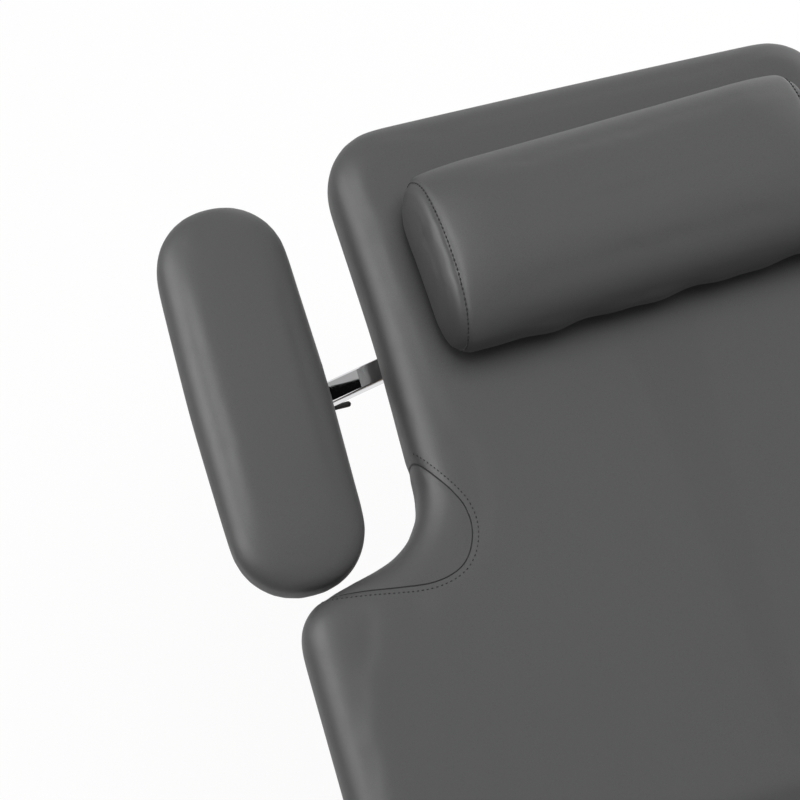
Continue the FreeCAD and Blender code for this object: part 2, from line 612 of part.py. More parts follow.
def armrest(side, name):
    lean = math.radians(at.bar_lean)
    middle = side * (at.back_half + at.arm_gap + at.arm_width / 2)
    out = Vector(-math.sin(lean), side * math.cos(lean), 0)
    level = at.top_height - at.bar_drop
    spin = Rotation(Vector(0, 0, 1), math.degrees(math.atan2(out.y, out.x))) * ENDWISE

    def along(y):
        """Plan point on the bar's axis at a distance from the table's middle."""
        return Vector(arm_x + at.arm_to_bar - (y - at.back_half) * math.tan(lean), side * y, 0)

    def square_bar(label, start, long, wide, high, opening=None):
        """A bar or a sleeve of rectangular section along the bar's own line."""
        holes = [rectangle(*opening, at.bar_edge / 4)] if opening else []
        body = padded(label, rectangle(wide, high, at.bar_edge), long, openings=holes)
        body.Placement = Placement(Vector(start.x, start.y, level), spin)
        return body

    ear_y = at.ear_span / 2
    ear_out = ear_y + at.cradle_thick
    boss_y = abs(middle) - ear_out - at.slack - at.boss_long / 2
    pivot = along(boss_y)
    mouth = along(at.back_half - at.mouth_inset)
    root = along(at.back_tube_y - at.tube_wide / 2)           # inside the spine tube, for the weld
    opening = (at.bar_wide + 2 * at.slack, at.bar_high + 2 * at.slack)
    sleeve_size = [o + 2 * at.sleeve_wall for o in opening]
    collar_size = [o + 2 * at.collar_proud for o in sleeve_size]
    sleeve = square_bar(f"armrest_sleeve_{name}", root, SLEEVE_LONG, *sleeve_size, opening)
    spine = back_tubes[2 if side < 0 else 3]
    back_tubes.append(cut(f"armrest_sleeve_{name}_end", sleeve, spine))
    collar_start, bar_start = mouth - out * at.collar_long, mouth - out * at.bar_hold
    collars.append(square_bar(f"armrest_collar_{name}", collar_start, "collar_long", *collar_size, opening))
    bar = square_bar(f"armrest_bar_{name}_stem", bar_start, BAR_LONG, at.bar_wide, at.bar_high)

    def across(label, radius, long, low_y, high_y):
        """A round piece on the pivot axis between two distances from the table's middle."""
        start = side * low_y if side > 0 else side * high_y
        return rod(label, radius, long, (pivot.x, start, level), ALONG_Y)

    boss_half = at.boss_long / 2
    boss = across(f"armrest_bar_{name}_boss", "boss_r", "boss_long", boss_y - boss_half, boss_y + boss_half)
    pin_end = abs(middle) + ear_out + at.slack
    pin_long = "ear_span + 2 * cradle_thick + 2 * slack + boss_long / 2"
    pin = across(f"armrest_bar_{name}_pin", "arm_pin_r", pin_long, boss_y, pin_end)
    nut = across(f"armrest_bar_{name}_nut", "arm_nut_r", "arm_pin_r", pin_end, pin_end + at.arm_pin_r)
    latch_x, latch_y = pivot.x - at.latch_back, side * boss_y
    latch_low = level - at.latch_drop - at.latch_high / 2
    stud = rod(f"armrest_bar_{name}_stud", "latch_r", "boss_r + latch_high",
               (latch_x, latch_y, latch_low - at.slack))
    knob = rod(f"armrest_bar_{name}_knob", "2 * latch_r", "latch_r",
               (latch_x, latch_y, latch_low - at.slack - at.latch_r))
    keep(f"armrest_bar_{name}", fuse(f"armrest_bar_{name}", [bar, boss, pin, nut, stud, knob]))
    # Cradle: a plate under the board with two ears on the pivot pin
    arm_top = at.top_height - at.arm_drop
    pad_low = arm_top - at.arm_pad_thick
    plate_low = pad_low - at.arm_board - at.cradle_thick
    plan = rectangle(at.cradle_long, 2 * ear_out, 2 * at.cradle_thick, (pivot.x, middle))
    pieces = [padded(f"armrest_cradle_{name}_plate", plan, "cradle_thick", base=(0, 0, plate_low))]
    boss_r, flare = at.boss_r, at.ear_flare
    for n, edge in enumerate((-1, 1)):
        points = [(pivot.x - flare, plate_low, 0), (pivot.x - boss_r, level - boss_r, boss_r * 0.98),
                  (pivot.x + boss_r, level - boss_r, boss_r * 0.98), (pivot.x + flare, plate_low, 0)]
        top = middle + edge * (ear_y + at.cradle_thick / 2) + at.cradle_thick / 2
        pieces.append(padded(f"armrest_cradle_{name}_ear_{n}", points, "cradle_thick", base=(0, top, 0),
                             turn=UPRIGHT, circles=[(pivot.x, level, at.arm_pin_r + at.running_gap)]))
    keep(f"armrest_cradle_{name}", fuse(f"armrest_cradle_{name}", pieces))

    def pill(inset):
        """Plan of the pad with round ends and full sides, drawn in by an inset."""
        far, half = at.arm_length / 2 - inset, at.arm_width / 2 - inset
        end = half - at.arm_bow
        edge = [(-far, -end, end * 0.96), (0, -half, at.arm_sweep), (far, -end, end * 0.96)]
        edge += [(-x, -y, radius) for x, y, radius in edge]
        return [(arm_x + x, middle + y, radius) for x, y, radius in edge]

    keep(f"armrest_board_{name}", padded(f"armrest_board_{name}", pill(at.arm_inset), "arm_board",
                                         base=(0, 0, pad_low - at.arm_board)))
    cushion(f"armrest_pad_{name}", pill(0), arm_top, at.arm_pad_thick, at.arm_round, at.arm_under,
            at.crown_rise / 2)
    # Latch lever on a stud under the boss
    hub = rod(f"armrest_latch_{name}_hub", "latch_hub", "latch_high", (latch_x, latch_y, latch_low))
    latch_level = level - at.latch_drop
    tip_y = latch_y - side * at.latch_long
    arm_rod = rod(f"armrest_latch_{name}_rod", "latch_r", "latch_long",
                  (latch_x, min(latch_y, tip_y), latch_level), ALONG_Y)
    tip = doc.addObject("Part::Sphere", f"armrest_latch_{name}_tip")
    bind(tip, "Radius", "latch_r")
    tip.Placement = Placement(Vector(latch_x, tip_y, latch_level), FLAT)
    hole = rod(f"armrest_latch_{name}_hole", "latch_r + running_gap", "latch_high",
               (latch_x, latch_y, latch_low))
    whole = fuse(f"armrest_latch_{name}_whole", [hub, arm_rod, tip])
    keep(f"armrest_latch_{name}", cut(f"armrest_latch_{name}", whole, hole))


for arm_side, arm_name in ((1, "right"), (-1, "left")):
    armrest(arm_side, arm_name)
keep("armrest_collars", group("armrest_collars", collars))
keep("backrest_frame", group("backrest_frame", back_tubes))

# Lift column


def column():
    """Three nested stages and the telescopic drive inside them."""
    foot = at.foot_high + at.beam_high
    floor = foot + at.foot_plate
    stages = ("outer", "middle", "inner")
    step = 2 * (at.col_wall + at.col_gap)
    for n, name in enumerate(stages):
        long, wide = at.col_long - n * step, at.col_wide - n * step
        corner = at.col_corner - n * step / 2
        hollow = rectangle(long - 2 * at.col_wall, wide - 2 * at.col_wall, corner - at.col_wall)
        tall = f"{COLUMN_TOP} - {2 - n} * stage_step - ({COLUMN_FOOT}) - {n} * stage_step / 2"
        start = (at.col_x, 0, floor + n * at.stage_step / 2)
        stage = padded(f"column_{name}", rectangle(long, wide, corner), tall, openings=[hollow], base=start)
        keep(f"column_{name}", stage)
    thick = at.col_gap - at.slack
    for n, name in enumerate(stages[:2]):
        long = at.col_long - n * step - 2 * at.col_wall
        wide = at.col_wide - n * step - 2 * at.col_wall
        low = plate_level - (2 - n) * at.stage_step - at.glide_high - at.glide_drop
        pads = []
        for m, side in enumerate((1, -1)):
            pads.append(box(f"glide_{name}_end_{m}", "col_gap - slack", "glide_long", "glide_high",
                            (at.col_x + side * (long - thick) / 2 - thick / 2, -at.glide_long / 2, low)))
            pads.append(box(f"glide_{name}_side_{m}", "glide_long", "col_gap - slack", "glide_high",
                            (at.col_x - at.glide_long / 2, side * (wide - thick) / 2 - thick / 2, low)))
        keep(f"column_glides_{name}", group(f"column_glides_{name}", pads))
    # Drive: motor in the foot, then three nested tubes
    keep("lift_motor", rod("lift_motor_can", "lift_motor_r", "lift_motor_high", (at.col_x, 0, floor)))
    for n, name in enumerate(("tube_lower", "tube_middle", "rod")):
        start = (at.col_x, 0, floor + at.lift_motor_high + n * at.lift_gap)
        tall = f"{COLUMN_TOP} - {2 - n} * stage_step - ({COLUMN_FOOT}) - lift_motor_high - {n} * lift_gap"
        radius = f"lift_tube_r - {n} * (lift_tube_wall + 2 * running_gap)"
        shell = rod(f"lift_{name}_shell", radius, tall, start)
        if name != "rod":
            hollow = rod(f"lift_{name}_hollow", radius + " - lift_tube_wall", tall, start)
            shell = cut(f"lift_{name}", shell, hollow)
        keep(f"lift_{name}", shell)
    plan = rectangle(at.col_long + 2 * at.foot_reach, 2 * at.beam_y + at.beam_wide, at.plate_round)
    return padded("column_foot_plate", plan, "foot_plate", base=(at.col_x, 0, foot))


foot_plate = column()

# Base


def base():
    x0, x1 = at.base_x - at.base_long / 2, at.base_x + at.base_long / 2
    wide = at.beam_wide
    inset = at.base_edge + at.base_draft + at.base_wall
    long = "base_long - 2 * (base_edge + base_draft + base_wall)"
    beams = [box(f"base_beam_{n}", long, "beam_wide", "beam_high", (x0 + inset, y - wide / 2, at.foot_high))
             for n, y in enumerate((-at.beam_y, at.beam_y))]
    ends = (x0 + inset + at.cross_inset, x1 - inset - at.cross_inset - wide)
    beams += [box(f"base_cross_{n}", "beam_wide", "2 * beam_y - beam_wide", "beam_high",
                  (x, wide / 2 - at.beam_y, at.foot_high)) for n, x in enumerate(ends)]
    keep("base_frame", group("base_frame", [*beams, foot_plate]))
    feet = []
    for n, (sx, sy) in enumerate(((-1, -1), (-1, 1), (1, -1), (1, 1))):
        x, y = at.base_x + sx * (at.base_long / 2 - inset - at.foot_inset), sy * at.beam_y
        neck = doc.addObject("Part::Cone", f"foot_neck_{n}")
        bind(neck, "Radius1", "foot_r")
        bind(neck, "Radius2", "foot_r / 2")
        bind(neck, "Height", "foot_neck")
        neck.Placement = Placement(Vector(x, y, at.foot_rim), FLAT)
        rim = rod(f"foot_rim_{n}", "foot_r", "foot_rim", (x, y, 0))
        stud = rod(f"foot_stud_{n}", "stud_r", "foot_high - foot_rim", (x, y, at.foot_rim))
        feet.append(fuse(f"levelling_foot_{n}", [rim, neck, stud]))
    keep("levelling_feet", group("levelling_feet", feet))
    cover(x0)


def cover(x0):
    """Moulded shell over the base: drafted sides, a rolled top edge, a column opening and an inlet window."""
    low = at.foot_high - at.skirt_lap
    high = at.base_high - low

    def rim(inset):
        plan = rectangle(at.base_long - 2 * inset, at.base_wide - 2 * inset, at.base_corner - inset)
        return face_of(plan).OuterWire

    def shell(grow, top):
        upper = rim(grow + at.base_draft)
        upper.translate(Vector(0, 0, top))
        return Part.makeLoft([rim(grow), upper], True, True)

    def rolled(solid, top, radius):
        return solid.makeFillet(radius, [e for e in solid.Edges if e.BoundBox.ZMin > top - 0.01])

    outer = rolled(shell(0, high), high, at.base_edge)
    ceiling = high - at.base_wall
    body = outer.cut(rolled(shell(at.base_wall, ceiling), ceiling, at.base_edge - at.base_wall))
    body.translate(Vector(at.base_x, 0, low))
    gap = at.window_gap
    plan = rectangle(at.col_long + 2 * gap, at.col_wide + 2 * gap, at.col_corner + gap, (at.col_x, 0))
    body = body.cut(face_of(plan).extrude(Vector(0, 0, 2 * at.base_high)))
    reach = at.inlet_deep
    hole = Part.makeBox(reach, at.inlet_wide + 2 * at.slack, at.inlet_high + 2 * at.slack)
    hole_low = at.inlet_level - at.inlet_high / 2 - at.slack
    hole.translate(Vector(x0 - reach / 3, -at.inlet_wide / 2 - at.slack, hole_low))
    body = body.cut(hole)
    # Posts that stand on the base beams
    tall = at.base_high - at.base_wall * 0.75 - at.foot_high - at.beam_high
    for sx, sy in ((-1, -1), (-1, 1), (1, -1), (1, 1)):
        x = at.base_x + sx * at.base_long * 0.36
        foot = Vector(x, sy * at.beam_y, at.foot_high + at.beam_high)
        body = body.fuse(Part.makeCylinder(at.post_r, tall, foot))
    keep("base_cover", loose("base_cover", body.Solids[0]))


base()

# Mains inlet with its rocker, control box, and the cordless handset in its holder


def inlet():
    level, rim, proud = at.inlet_level, at.inlet_rim, at.inlet_proud
    face = at.base_x - at.base_long / 2 + at.base_draft * (level - at.foot_high) / at.base_high - proud
    low, near = level - at.inlet_high / 2, -at.inlet_wide / 2
    body = box("inlet_block", "inlet_deep", "inlet_wide", "inlet_high", (face, near, low))
    well = box("inlet_well", "inlet_deep", "inlet_wide - switch_wide - 3 * inlet_rim",
               "inlet_high - 2 * inlet_rim", (face - 2 * rim, near + rim, low + rim))
    seat_y = -near - at.switch_wide - rim
    floor = face + at.switch_well
    pocket = box("switch_pocket", "inlet_deep", "switch_wide + 2 * slack", "switch_high + 2 * slack",
                 (floor - at.inlet_deep, seat_y - at.slack, level - at.switch_high / 2 - at.slack))
    well_wide = at.inlet_wide - at.switch_wide - 3 * rim
    first = near + rim + (well_wide - at.blade_wide) / 2 - at.blade_pitch
    start, foot = face + at.blade_back, level - at.blade_high / 2
    blades = [box(f"inlet_blade_{n}", "inlet_deep - 3 * blade_back", "blade_wide", "blade_high",
                  (start, first + n * at.blade_pitch, foot)) for n in range(3)]
    hollow = fuse("inlet_hollow", [well, pocket])
    keep("mains_inlet", fuse("mains_inlet", [cut("inlet_case", body, hollow), *blades]))
    half, deep, edge = at.switch_high / 2, at.switch_deep, at.blade_wide / 2
    top, inner = face - proud, face + deep * 0.67
    points = [(top, level + half, edge), (face + proud / 2, level, 0), (top, level - half, edge),
              (inner, level - half * 0.73, edge), (face + deep, level, deep / 2),
              (inner, level + half * 0.73, edge)]
    base = (0, seat_y + at.switch_wide, 0)
    keep("mains_switch", padded("mains_switch", points, "switch_wide", base=base, turn=UPRIGHT))


def control_box():
    x = at.leg_hinge_x + at.hinge_tube_gap + at.box_long / 2 + at.box_gap
    control = padded("control_box", rectangle(at.box_long, at.box_wide, at.box_round), "box_high",
                     base=(x, 0, rail_level - at.box_high))
    soften(control, "screw_head", lambda e: e.BoundBox.ZLength < 0.01)
    keep("control_box", control)


def handset():
    """Cordless handset that clips into a holder on the left side of the seat frame."""
    outer = -(at.hip_half - at.frame_inset)                   # outer face of the frame's left tube
    wall, clear, tall = at.holder_wall, at.slack, at.hand_high
    low = panel_level - at.hand_drop - tall
    x0 = at.hand_x - at.hand_wide / 2
    left = x0 - wall - clear
    across = "hand_wide + 2 * holder_wall + 2 * slack"
    back = box("holder_back", across, "holder_wall", "hand_high", (left, outer - wall, low))
    shelf = box("holder_shelf", across, "hand_thick + holder_wall + slack", "holder_wall",
                (left, outer - wall - at.hand_thick - clear, low - wall))
    jaw_y = outer - wall - at.hand_thick - clear
    jaws = [box(f"holder_jaw_{n}", "holder_wall", "hand_thick + slack", "hand_high / 3", (x, jaw_y, low))
            for n, x in enumerate((left, x0 + at.hand_wide + clear))]
    keep("handset_holder", fuse("handset_holder", [back, shelf, *jaws]))
    near = outer - wall - clear
    base_z = low + clear
    tall = tall - at.hand_play
    plan = rectangle(at.hand_wide, tall, at.hand_round, (at.hand_x, base_z + tall / 2))
    shell = padded("handset_case", plan, "hand_thick", base=(0, near, 0), turn=UPRIGHT)
    soften(shell, "screw_head", lambda e: e.BoundBox.ZMin > at.hand_thick - 0.01)
    front = near - at.hand_thick
    rows = [base_z + tall - (n + 1) * at.key_pitch for n in range(3)]
    wells, around = [], 2 * at.key_gap
    for n, z in enumerate(rows):
        plan = rectangle(at.key_wide + around, at.key_high + around, at.key_round + at.key_gap,
                         (at.hand_x, z))
        wells.append(padded(f"key_well_{n}", plan, "key_sunk + key_dip",
                            base=(0, front + at.key_sunk + at.key_dip, 0), turn=UPRIGHT))
    keep("handset", cut("handset", shell, group("key_wells", wells)))
    for name, z in zip(("back", "leg", "height"), rows):
        cap = padded(f"key_{name}_cap", rectangle(at.key_wide, at.key_high, at.key_round, (at.hand_x, z)),
                     "key_proud + key_sunk", base=(0, front + at.key_sunk, 0), turn=UPRIGHT)
        soften(cap, "key_edge", lambda e: e.BoundBox.ZMin > at.key_proud + at.key_sunk - 0.01)
        barrel = rod(f"key_{name}_barrel", "key_dip - slack / 3", "key_wide - 2 * key_round",
                     (at.hand_x - at.key_wide / 2 + at.key_round, front + at.key_sunk, z), ALONG_X)
        keep(f"key_{name}", fuse(f"key_{name}", [cap, barrel]))


inlet()
control_box()
handset()

# Checks and export
doc.recompute()
failed = [o.Name for o in doc.Objects if {"Invalid", "Error"} & set(o.State)]
if failed:
    raise RuntimeError(f"failed objects: {failed}")
for label, item in parts.items():
    if item.Shape.isNull() or not item.Shape.isValid():
        raise RuntimeError(f"bad shape: {label}")
os.makedirs("parts", exist_ok=True)
for label, item in parts.items():
    item.Shape.exportStep(os.path.join("parts", label + ".step"))
print(len(parts), "parts")
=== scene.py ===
"""Dresses the electric massage table: padded leather, seams and stitches, hard finishes, and a studio."""
import json
import math

import bmesh
import bpy
import numpy as np
from bpy.props import FloatProperty, FloatVectorProperty, IntProperty, PointerProperty
from mathutils import Matrix, Vector
from mathutils.bvhtree import BVHTree
from mathutils.geometry import interpolate_bezier


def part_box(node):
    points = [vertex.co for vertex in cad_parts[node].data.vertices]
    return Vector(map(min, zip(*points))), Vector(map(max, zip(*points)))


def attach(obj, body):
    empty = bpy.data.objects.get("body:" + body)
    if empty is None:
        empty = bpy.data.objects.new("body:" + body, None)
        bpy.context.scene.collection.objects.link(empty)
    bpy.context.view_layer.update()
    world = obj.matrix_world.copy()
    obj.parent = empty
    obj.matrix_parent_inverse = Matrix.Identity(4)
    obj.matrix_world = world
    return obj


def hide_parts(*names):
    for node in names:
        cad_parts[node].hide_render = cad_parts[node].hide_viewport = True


bl_info = {
    "name": "Massage table dressing",
    "version": (1, 0, 0),
    "blender": (4, 5, 0),
    "location": "View3D > Sidebar > Table",
    "description": "Upholstery, stitching, finishes and studio for an electric massage table",
    "category": "Object",
}

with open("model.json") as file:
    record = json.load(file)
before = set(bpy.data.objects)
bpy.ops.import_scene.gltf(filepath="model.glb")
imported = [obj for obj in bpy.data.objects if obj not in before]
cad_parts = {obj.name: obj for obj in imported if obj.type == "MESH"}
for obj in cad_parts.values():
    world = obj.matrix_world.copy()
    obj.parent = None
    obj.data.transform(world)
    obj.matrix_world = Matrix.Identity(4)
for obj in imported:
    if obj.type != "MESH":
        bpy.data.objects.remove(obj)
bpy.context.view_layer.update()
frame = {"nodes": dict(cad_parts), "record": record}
nodes = frame["nodes"]
body_of = {node: body for body, names in frame["record"]["behaviour"]["bodies"].items() for node in names}
slot_of = {part["node"]: part["material_slot"] for part in frame["record"]["subparts"]}

UP = Vector((0, 0, 1))

# Lengths are in metres
WELD = 1e-5                         # corners of a CAD mesh that lie nearer than this are one
SINK_SHARE = 0.2                    # how far a skin may sink, as a share of how far it may rise

# How each kind of pad is drawn in and swells back, how full it is, and the share of the swelling on its walls
SECTION_PAD = {"inset": 0.0022, "rise": 0.0024, "fill": 0.8, "walls": 0.4}
ARMREST_PAD = {"inset": 0.0028, "rise": 0.0034, "fill": 0.75, "walls": 0.4}
BOLSTER_PAD = {"inset": 0.004, "rise": 0.005, "fill": 0.65, "walls": 1.0}

SEAM_ZERO = 0.1                     # the stored distance at which a seam lies
SEAM_REACH = 0.05                   # the largest distance from a seam that is stored

# Plan of the sewn gusset at the waist of the backrest, right side
GUSSET = ((0.648, 0.289), (0.620, 0.273), (0.5953, 0.2597), (0.5783, 0.2503), (0.5581, 0.2391),
          (0.5406, 0.2324), (0.5206, 0.2317), (0.5016, 0.2383), (0.4877, 0.2496), (0.4803, 0.2656),
          (0.4783, 0.2861), (0.4823, 0.3138), (0.4880, 0.3402), (0.4944, 0.3690), (0.505, 0.414),
          (0.513, 0.450))
GUSSET_SEAM_WIDTH = 0.0035
ABOVE_PADS = 1.0                    # a height above every pad
LEAST_FACING = 0.25                 # a stitch is laid only where the skin faces up by more than this

ARMREST_FOOT_FALL = 0.010           # fall of an armrest's top at its foot end
ARMREST_INNER_FALL = 0.010          # further fall there at the edge beside the table

# Ripples low on the foot side of the pillow: share, radians per metre and start of each wave
RIPPLES = ((1, 61, 0.7), (0.6, 113, 2.0))
RIPPLE_HEIGHT = 0.0016
RIPPLE_START = 0.03                 # from the pillow's middle line to where the ripples begin
RIPPLE_FADE = 0.05                  # distance over which they set in
RIPPLE_DEPTH = 0.03                 # below the pillow's middle height they are full from here down

# Ends of the pillow: the end is pushed out and skewed, its top falls towards the seam, its cap is drawn in
END_LENGTH, END_PUSH, END_SKEW = 0.1, 0.005, 0.015
FALL_START, FALL_LENGTH, FALL_DROP, FALL_POWER = 0.08, 0.057, 0.014, 0.6
CAP_LENGTH, CAP_PULL = 0.025, 0.014
PILLOW_SEAM_WIDTH = 0.005
PILLOW_SEAM_DEEPER = 1.6            # seam depth of the pillow, times that of the gusset
PILLOW_SEAM_FINER = 3               # its crease is finer by this
PILLOW_THREAD_THICKER = 1.4         # and its thread thicker by this

# Marks on the keys
MARK_SHIFT, MARK_FOOT, MARK_TOP, MARK_HEIGHT, MARK_EDGE = 0.009, 0.0034, 0.0026, 0.0012, 0.0002

# Studio
FLOOR_HALF, FLOOR_DROP = 14, 0.0006
FLOOR_GLOW = 0.95                   # share of plain white in the floor, for the rays that show it
CARD_PLACE, CARD_HALF = (1.6, -0.2, 3.4), 0.35
CARD_SPLIT, CARD_SKEW = 1.679, 0.034
CARD_TONES = (("card_black", 0.004), ("card_grey", 0.48))
SENSOR_WIDTH = 36
CAMERA_PLACE = (-0.0264, 0.6501, 2.7852)
CAMERA_RIGHT = (-0.27731222, -0.95703932, 0.08469758)
CAMERA_UP = (0.91274199, -0.23489518, 0.33425487)
CAMERA_BACK = (-0.30, 0.17, 0.93866927)


class LeatherSettings(bpy.types.PropertyGroup):
    """Skin of the padded sections."""
    colour: FloatVectorProperty(name="Leather colour", description="Colour of the skin", subtype="COLOR",
                                size=3, min=0, max=1, default=(0.100, 0.100, 0.101))
    roughness: FloatProperty(name="Roughness", description="Mean roughness of the skin", min=0, max=1,
                             default=0.5)
    pores: FloatProperty(name="Pores per metre", description="How fine the grain is", min=50, max=4000,
                         default=900)
    relief: FloatProperty(name="Grain relief", description="Depth of the grain", subtype="DISTANCE",
                          unit="LENGTH", min=0, max=0.001, default=0.00002, precision=6)


class SewingSettings(bpy.types.PropertyGroup):
    """Seams and thread."""
    thread_colour: FloatVectorProperty(name="Thread colour", description="Colour of the thread",
                                       subtype="COLOR", size=3, min=0, max=1, default=(0.012, 0.012, 0.013))
    thread: FloatProperty(name="Thread radius", description="Half the thickness of a stitch",
                          subtype="DISTANCE", unit="LENGTH", min=0.0001, max=0.002, default=0.00062,
                          precision=5)
    stitch: FloatProperty(name="Stitch length", description="Length of one stitch", subtype="DISTANCE",
                          unit="LENGTH", min=0.001, max=0.01, default=0.0026, precision=4)
    pitch: FloatProperty(name="Stitch pitch", description="From one stitch to the next", subtype="DISTANCE",
                         unit="LENGTH", min=0.001, max=0.02, default=0.0043, precision=4)
    long_stitch: FloatProperty(name="Pillow stitch length", description="Length of one stitch on the pillow",
                               subtype="DISTANCE", unit="LENGTH", min=0.001, max=0.01, default=0.0034,
                               precision=4)
    long_pitch: FloatProperty(name="Pillow stitch pitch", description="Stitch to stitch on the pillow",
                              subtype="DISTANCE", unit="LENGTH", min=0.001, max=0.02, default=0.0048,
                              precision=4)
    lap: FloatProperty(name="Seam to stitches", description="Distance of the row of stitches from its seam",
                       subtype="DISTANCE", unit="LENGTH", min=0, max=0.02, default=0.0056, precision=4)
    depth: FloatProperty(name="Seam depth", description="How far a seam pulls the skin in",
                         subtype="DISTANCE", unit="LENGTH", min=0, max=0.005, default=0.0011, precision=4)


class PaddingSettings(bpy.types.PropertyGroup):
    """How the padding swells under its skin."""
    pressure: FloatProperty(name="Pressure", description="Push of the foam on the skin", min=0, max=20,
                            default=4)
    frames: IntProperty(name="Frames", description="Length of the cloth run", min=2, max=60, default=20)
    big_grid: FloatProperty(name="Section mesh", description="Mesh size of the table sections",
                            subtype="DISTANCE", unit="LENGTH", min=0.004, max=0.02, default=0.007,
                            precision=4)
    small_grid: FloatProperty(name="Pad mesh", description="Mesh size of the armrest pads and the pillow",
                              subtype="DISTANCE", unit="LENGTH", min=0.003, max=0.02, default=0.0045,
                              precision=4)
    pillow_turn: FloatProperty(name="Pillow turn", description="How far the pillow lies askew",
                               subtype="ANGLE", min=-0.5, max=0.5, default=math.radians(3))
    pillow_end: FloatProperty(name="Pillow end", description="From the end seam to the tip of the end",
                              subtype="DISTANCE", unit="LENGTH", min=0.002, max=0.05, default=0.015,
                              precision=4)
    pillow_bow: FloatProperty(name="Pillow seam bow", description="How far the end seam draws in on top",
                              subtype="DISTANCE", unit="LENGTH", min=0, max=0.03, default=0.008, precision=4)


class FinishSettings(bpy.types.PropertyGroup):
    """Colours of the hard pieces."""
    frame_colour: FloatVectorProperty(name="Frame paint", description="Powder coat of the frames",
                                      subtype="COLOR", size=3, min=0, max=1, default=(0.03, 0.03, 0.032))
    pale_colour: FloatVectorProperty(name="Pale paint", description="Paint of the lift column",
                                     subtype="COLOR", size=3, min=0, max=1, default=(0.62, 0.62, 0.61))
    chrome_colour: FloatVectorProperty(name="Chrome", description="Tone of the bright bars",
                                       subtype="COLOR", size=3, min=0, max=1, default=(0.72, 0.72, 0.73))


class StudioSettings(bpy.types.PropertyGroup):
    """Light and camera."""
    lens: FloatProperty(name="Lens", description="Focal length", subtype="DISTANCE_CAMERA", min=10, max=400,
                        default=108)
    key: FloatProperty(name="Key light", description="Power of the side box", subtype="POWER", min=0, max=500,
                       default=185)
    top: FloatProperty(name="Top light", description="Power of the overhead box", subtype="POWER", min=0,
                       max=999, default=224)
    low: FloatProperty(name="Low light", description="Power of the box that lights the base",
                       subtype="POWER", min=0, max=500, default=50)
    fill: FloatProperty(name="Fill", description="Level of the room's own light", min=0, max=2,
                        default=0.173)


class TableSettings(bpy.types.PropertyGroup):
    """All settings of the table."""
    leather: PointerProperty(name="Leather", description="Skin of the padding", type=LeatherSettings)
    sewing: PointerProperty(name="Sewing", description="Seams and thread", type=SewingSettings)
    padding: PointerProperty(name="Padding", description="Swell of the padding", type=PaddingSettings)
    finish: PointerProperty(name="Finishes", description="Hard pieces", type=FinishSettings)
    studio: PointerProperty(name="Studio", description="Light and camera", type=StudioSettings)


def settings():
    """The table's settings, kept on the scene."""
    return bpy.context.scene.massage_table


class Socket:
    """A shader value that takes part in Python arithmetic."""

    def __init__(self, finish, socket):
        self.finish = finish
        self.socket = socket

    def math(self, operation, first, second=None):
        inputs = {0: first} if second is None else {0: first, 1: second}
        return self.finish.add("ShaderNodeMath", {"operation": operation}, inputs)

    def __add__(self, other):
        return self.math("ADD", self, other)

    __radd__ = __add__

    def __sub__(self, other):
        return self.math("SUBTRACT", self, other)

    def __rsub__(self, other):
        return self.math("SUBTRACT", other, self)

    def __mul__(self, other):
        return self.math("MULTIPLY", self, other)

    __rmul__ = __mul__

    def __abs__(self):
        return self.math("ABSOLUTE", self)

    def fraction(self):
        return self.math("FRACT", self)


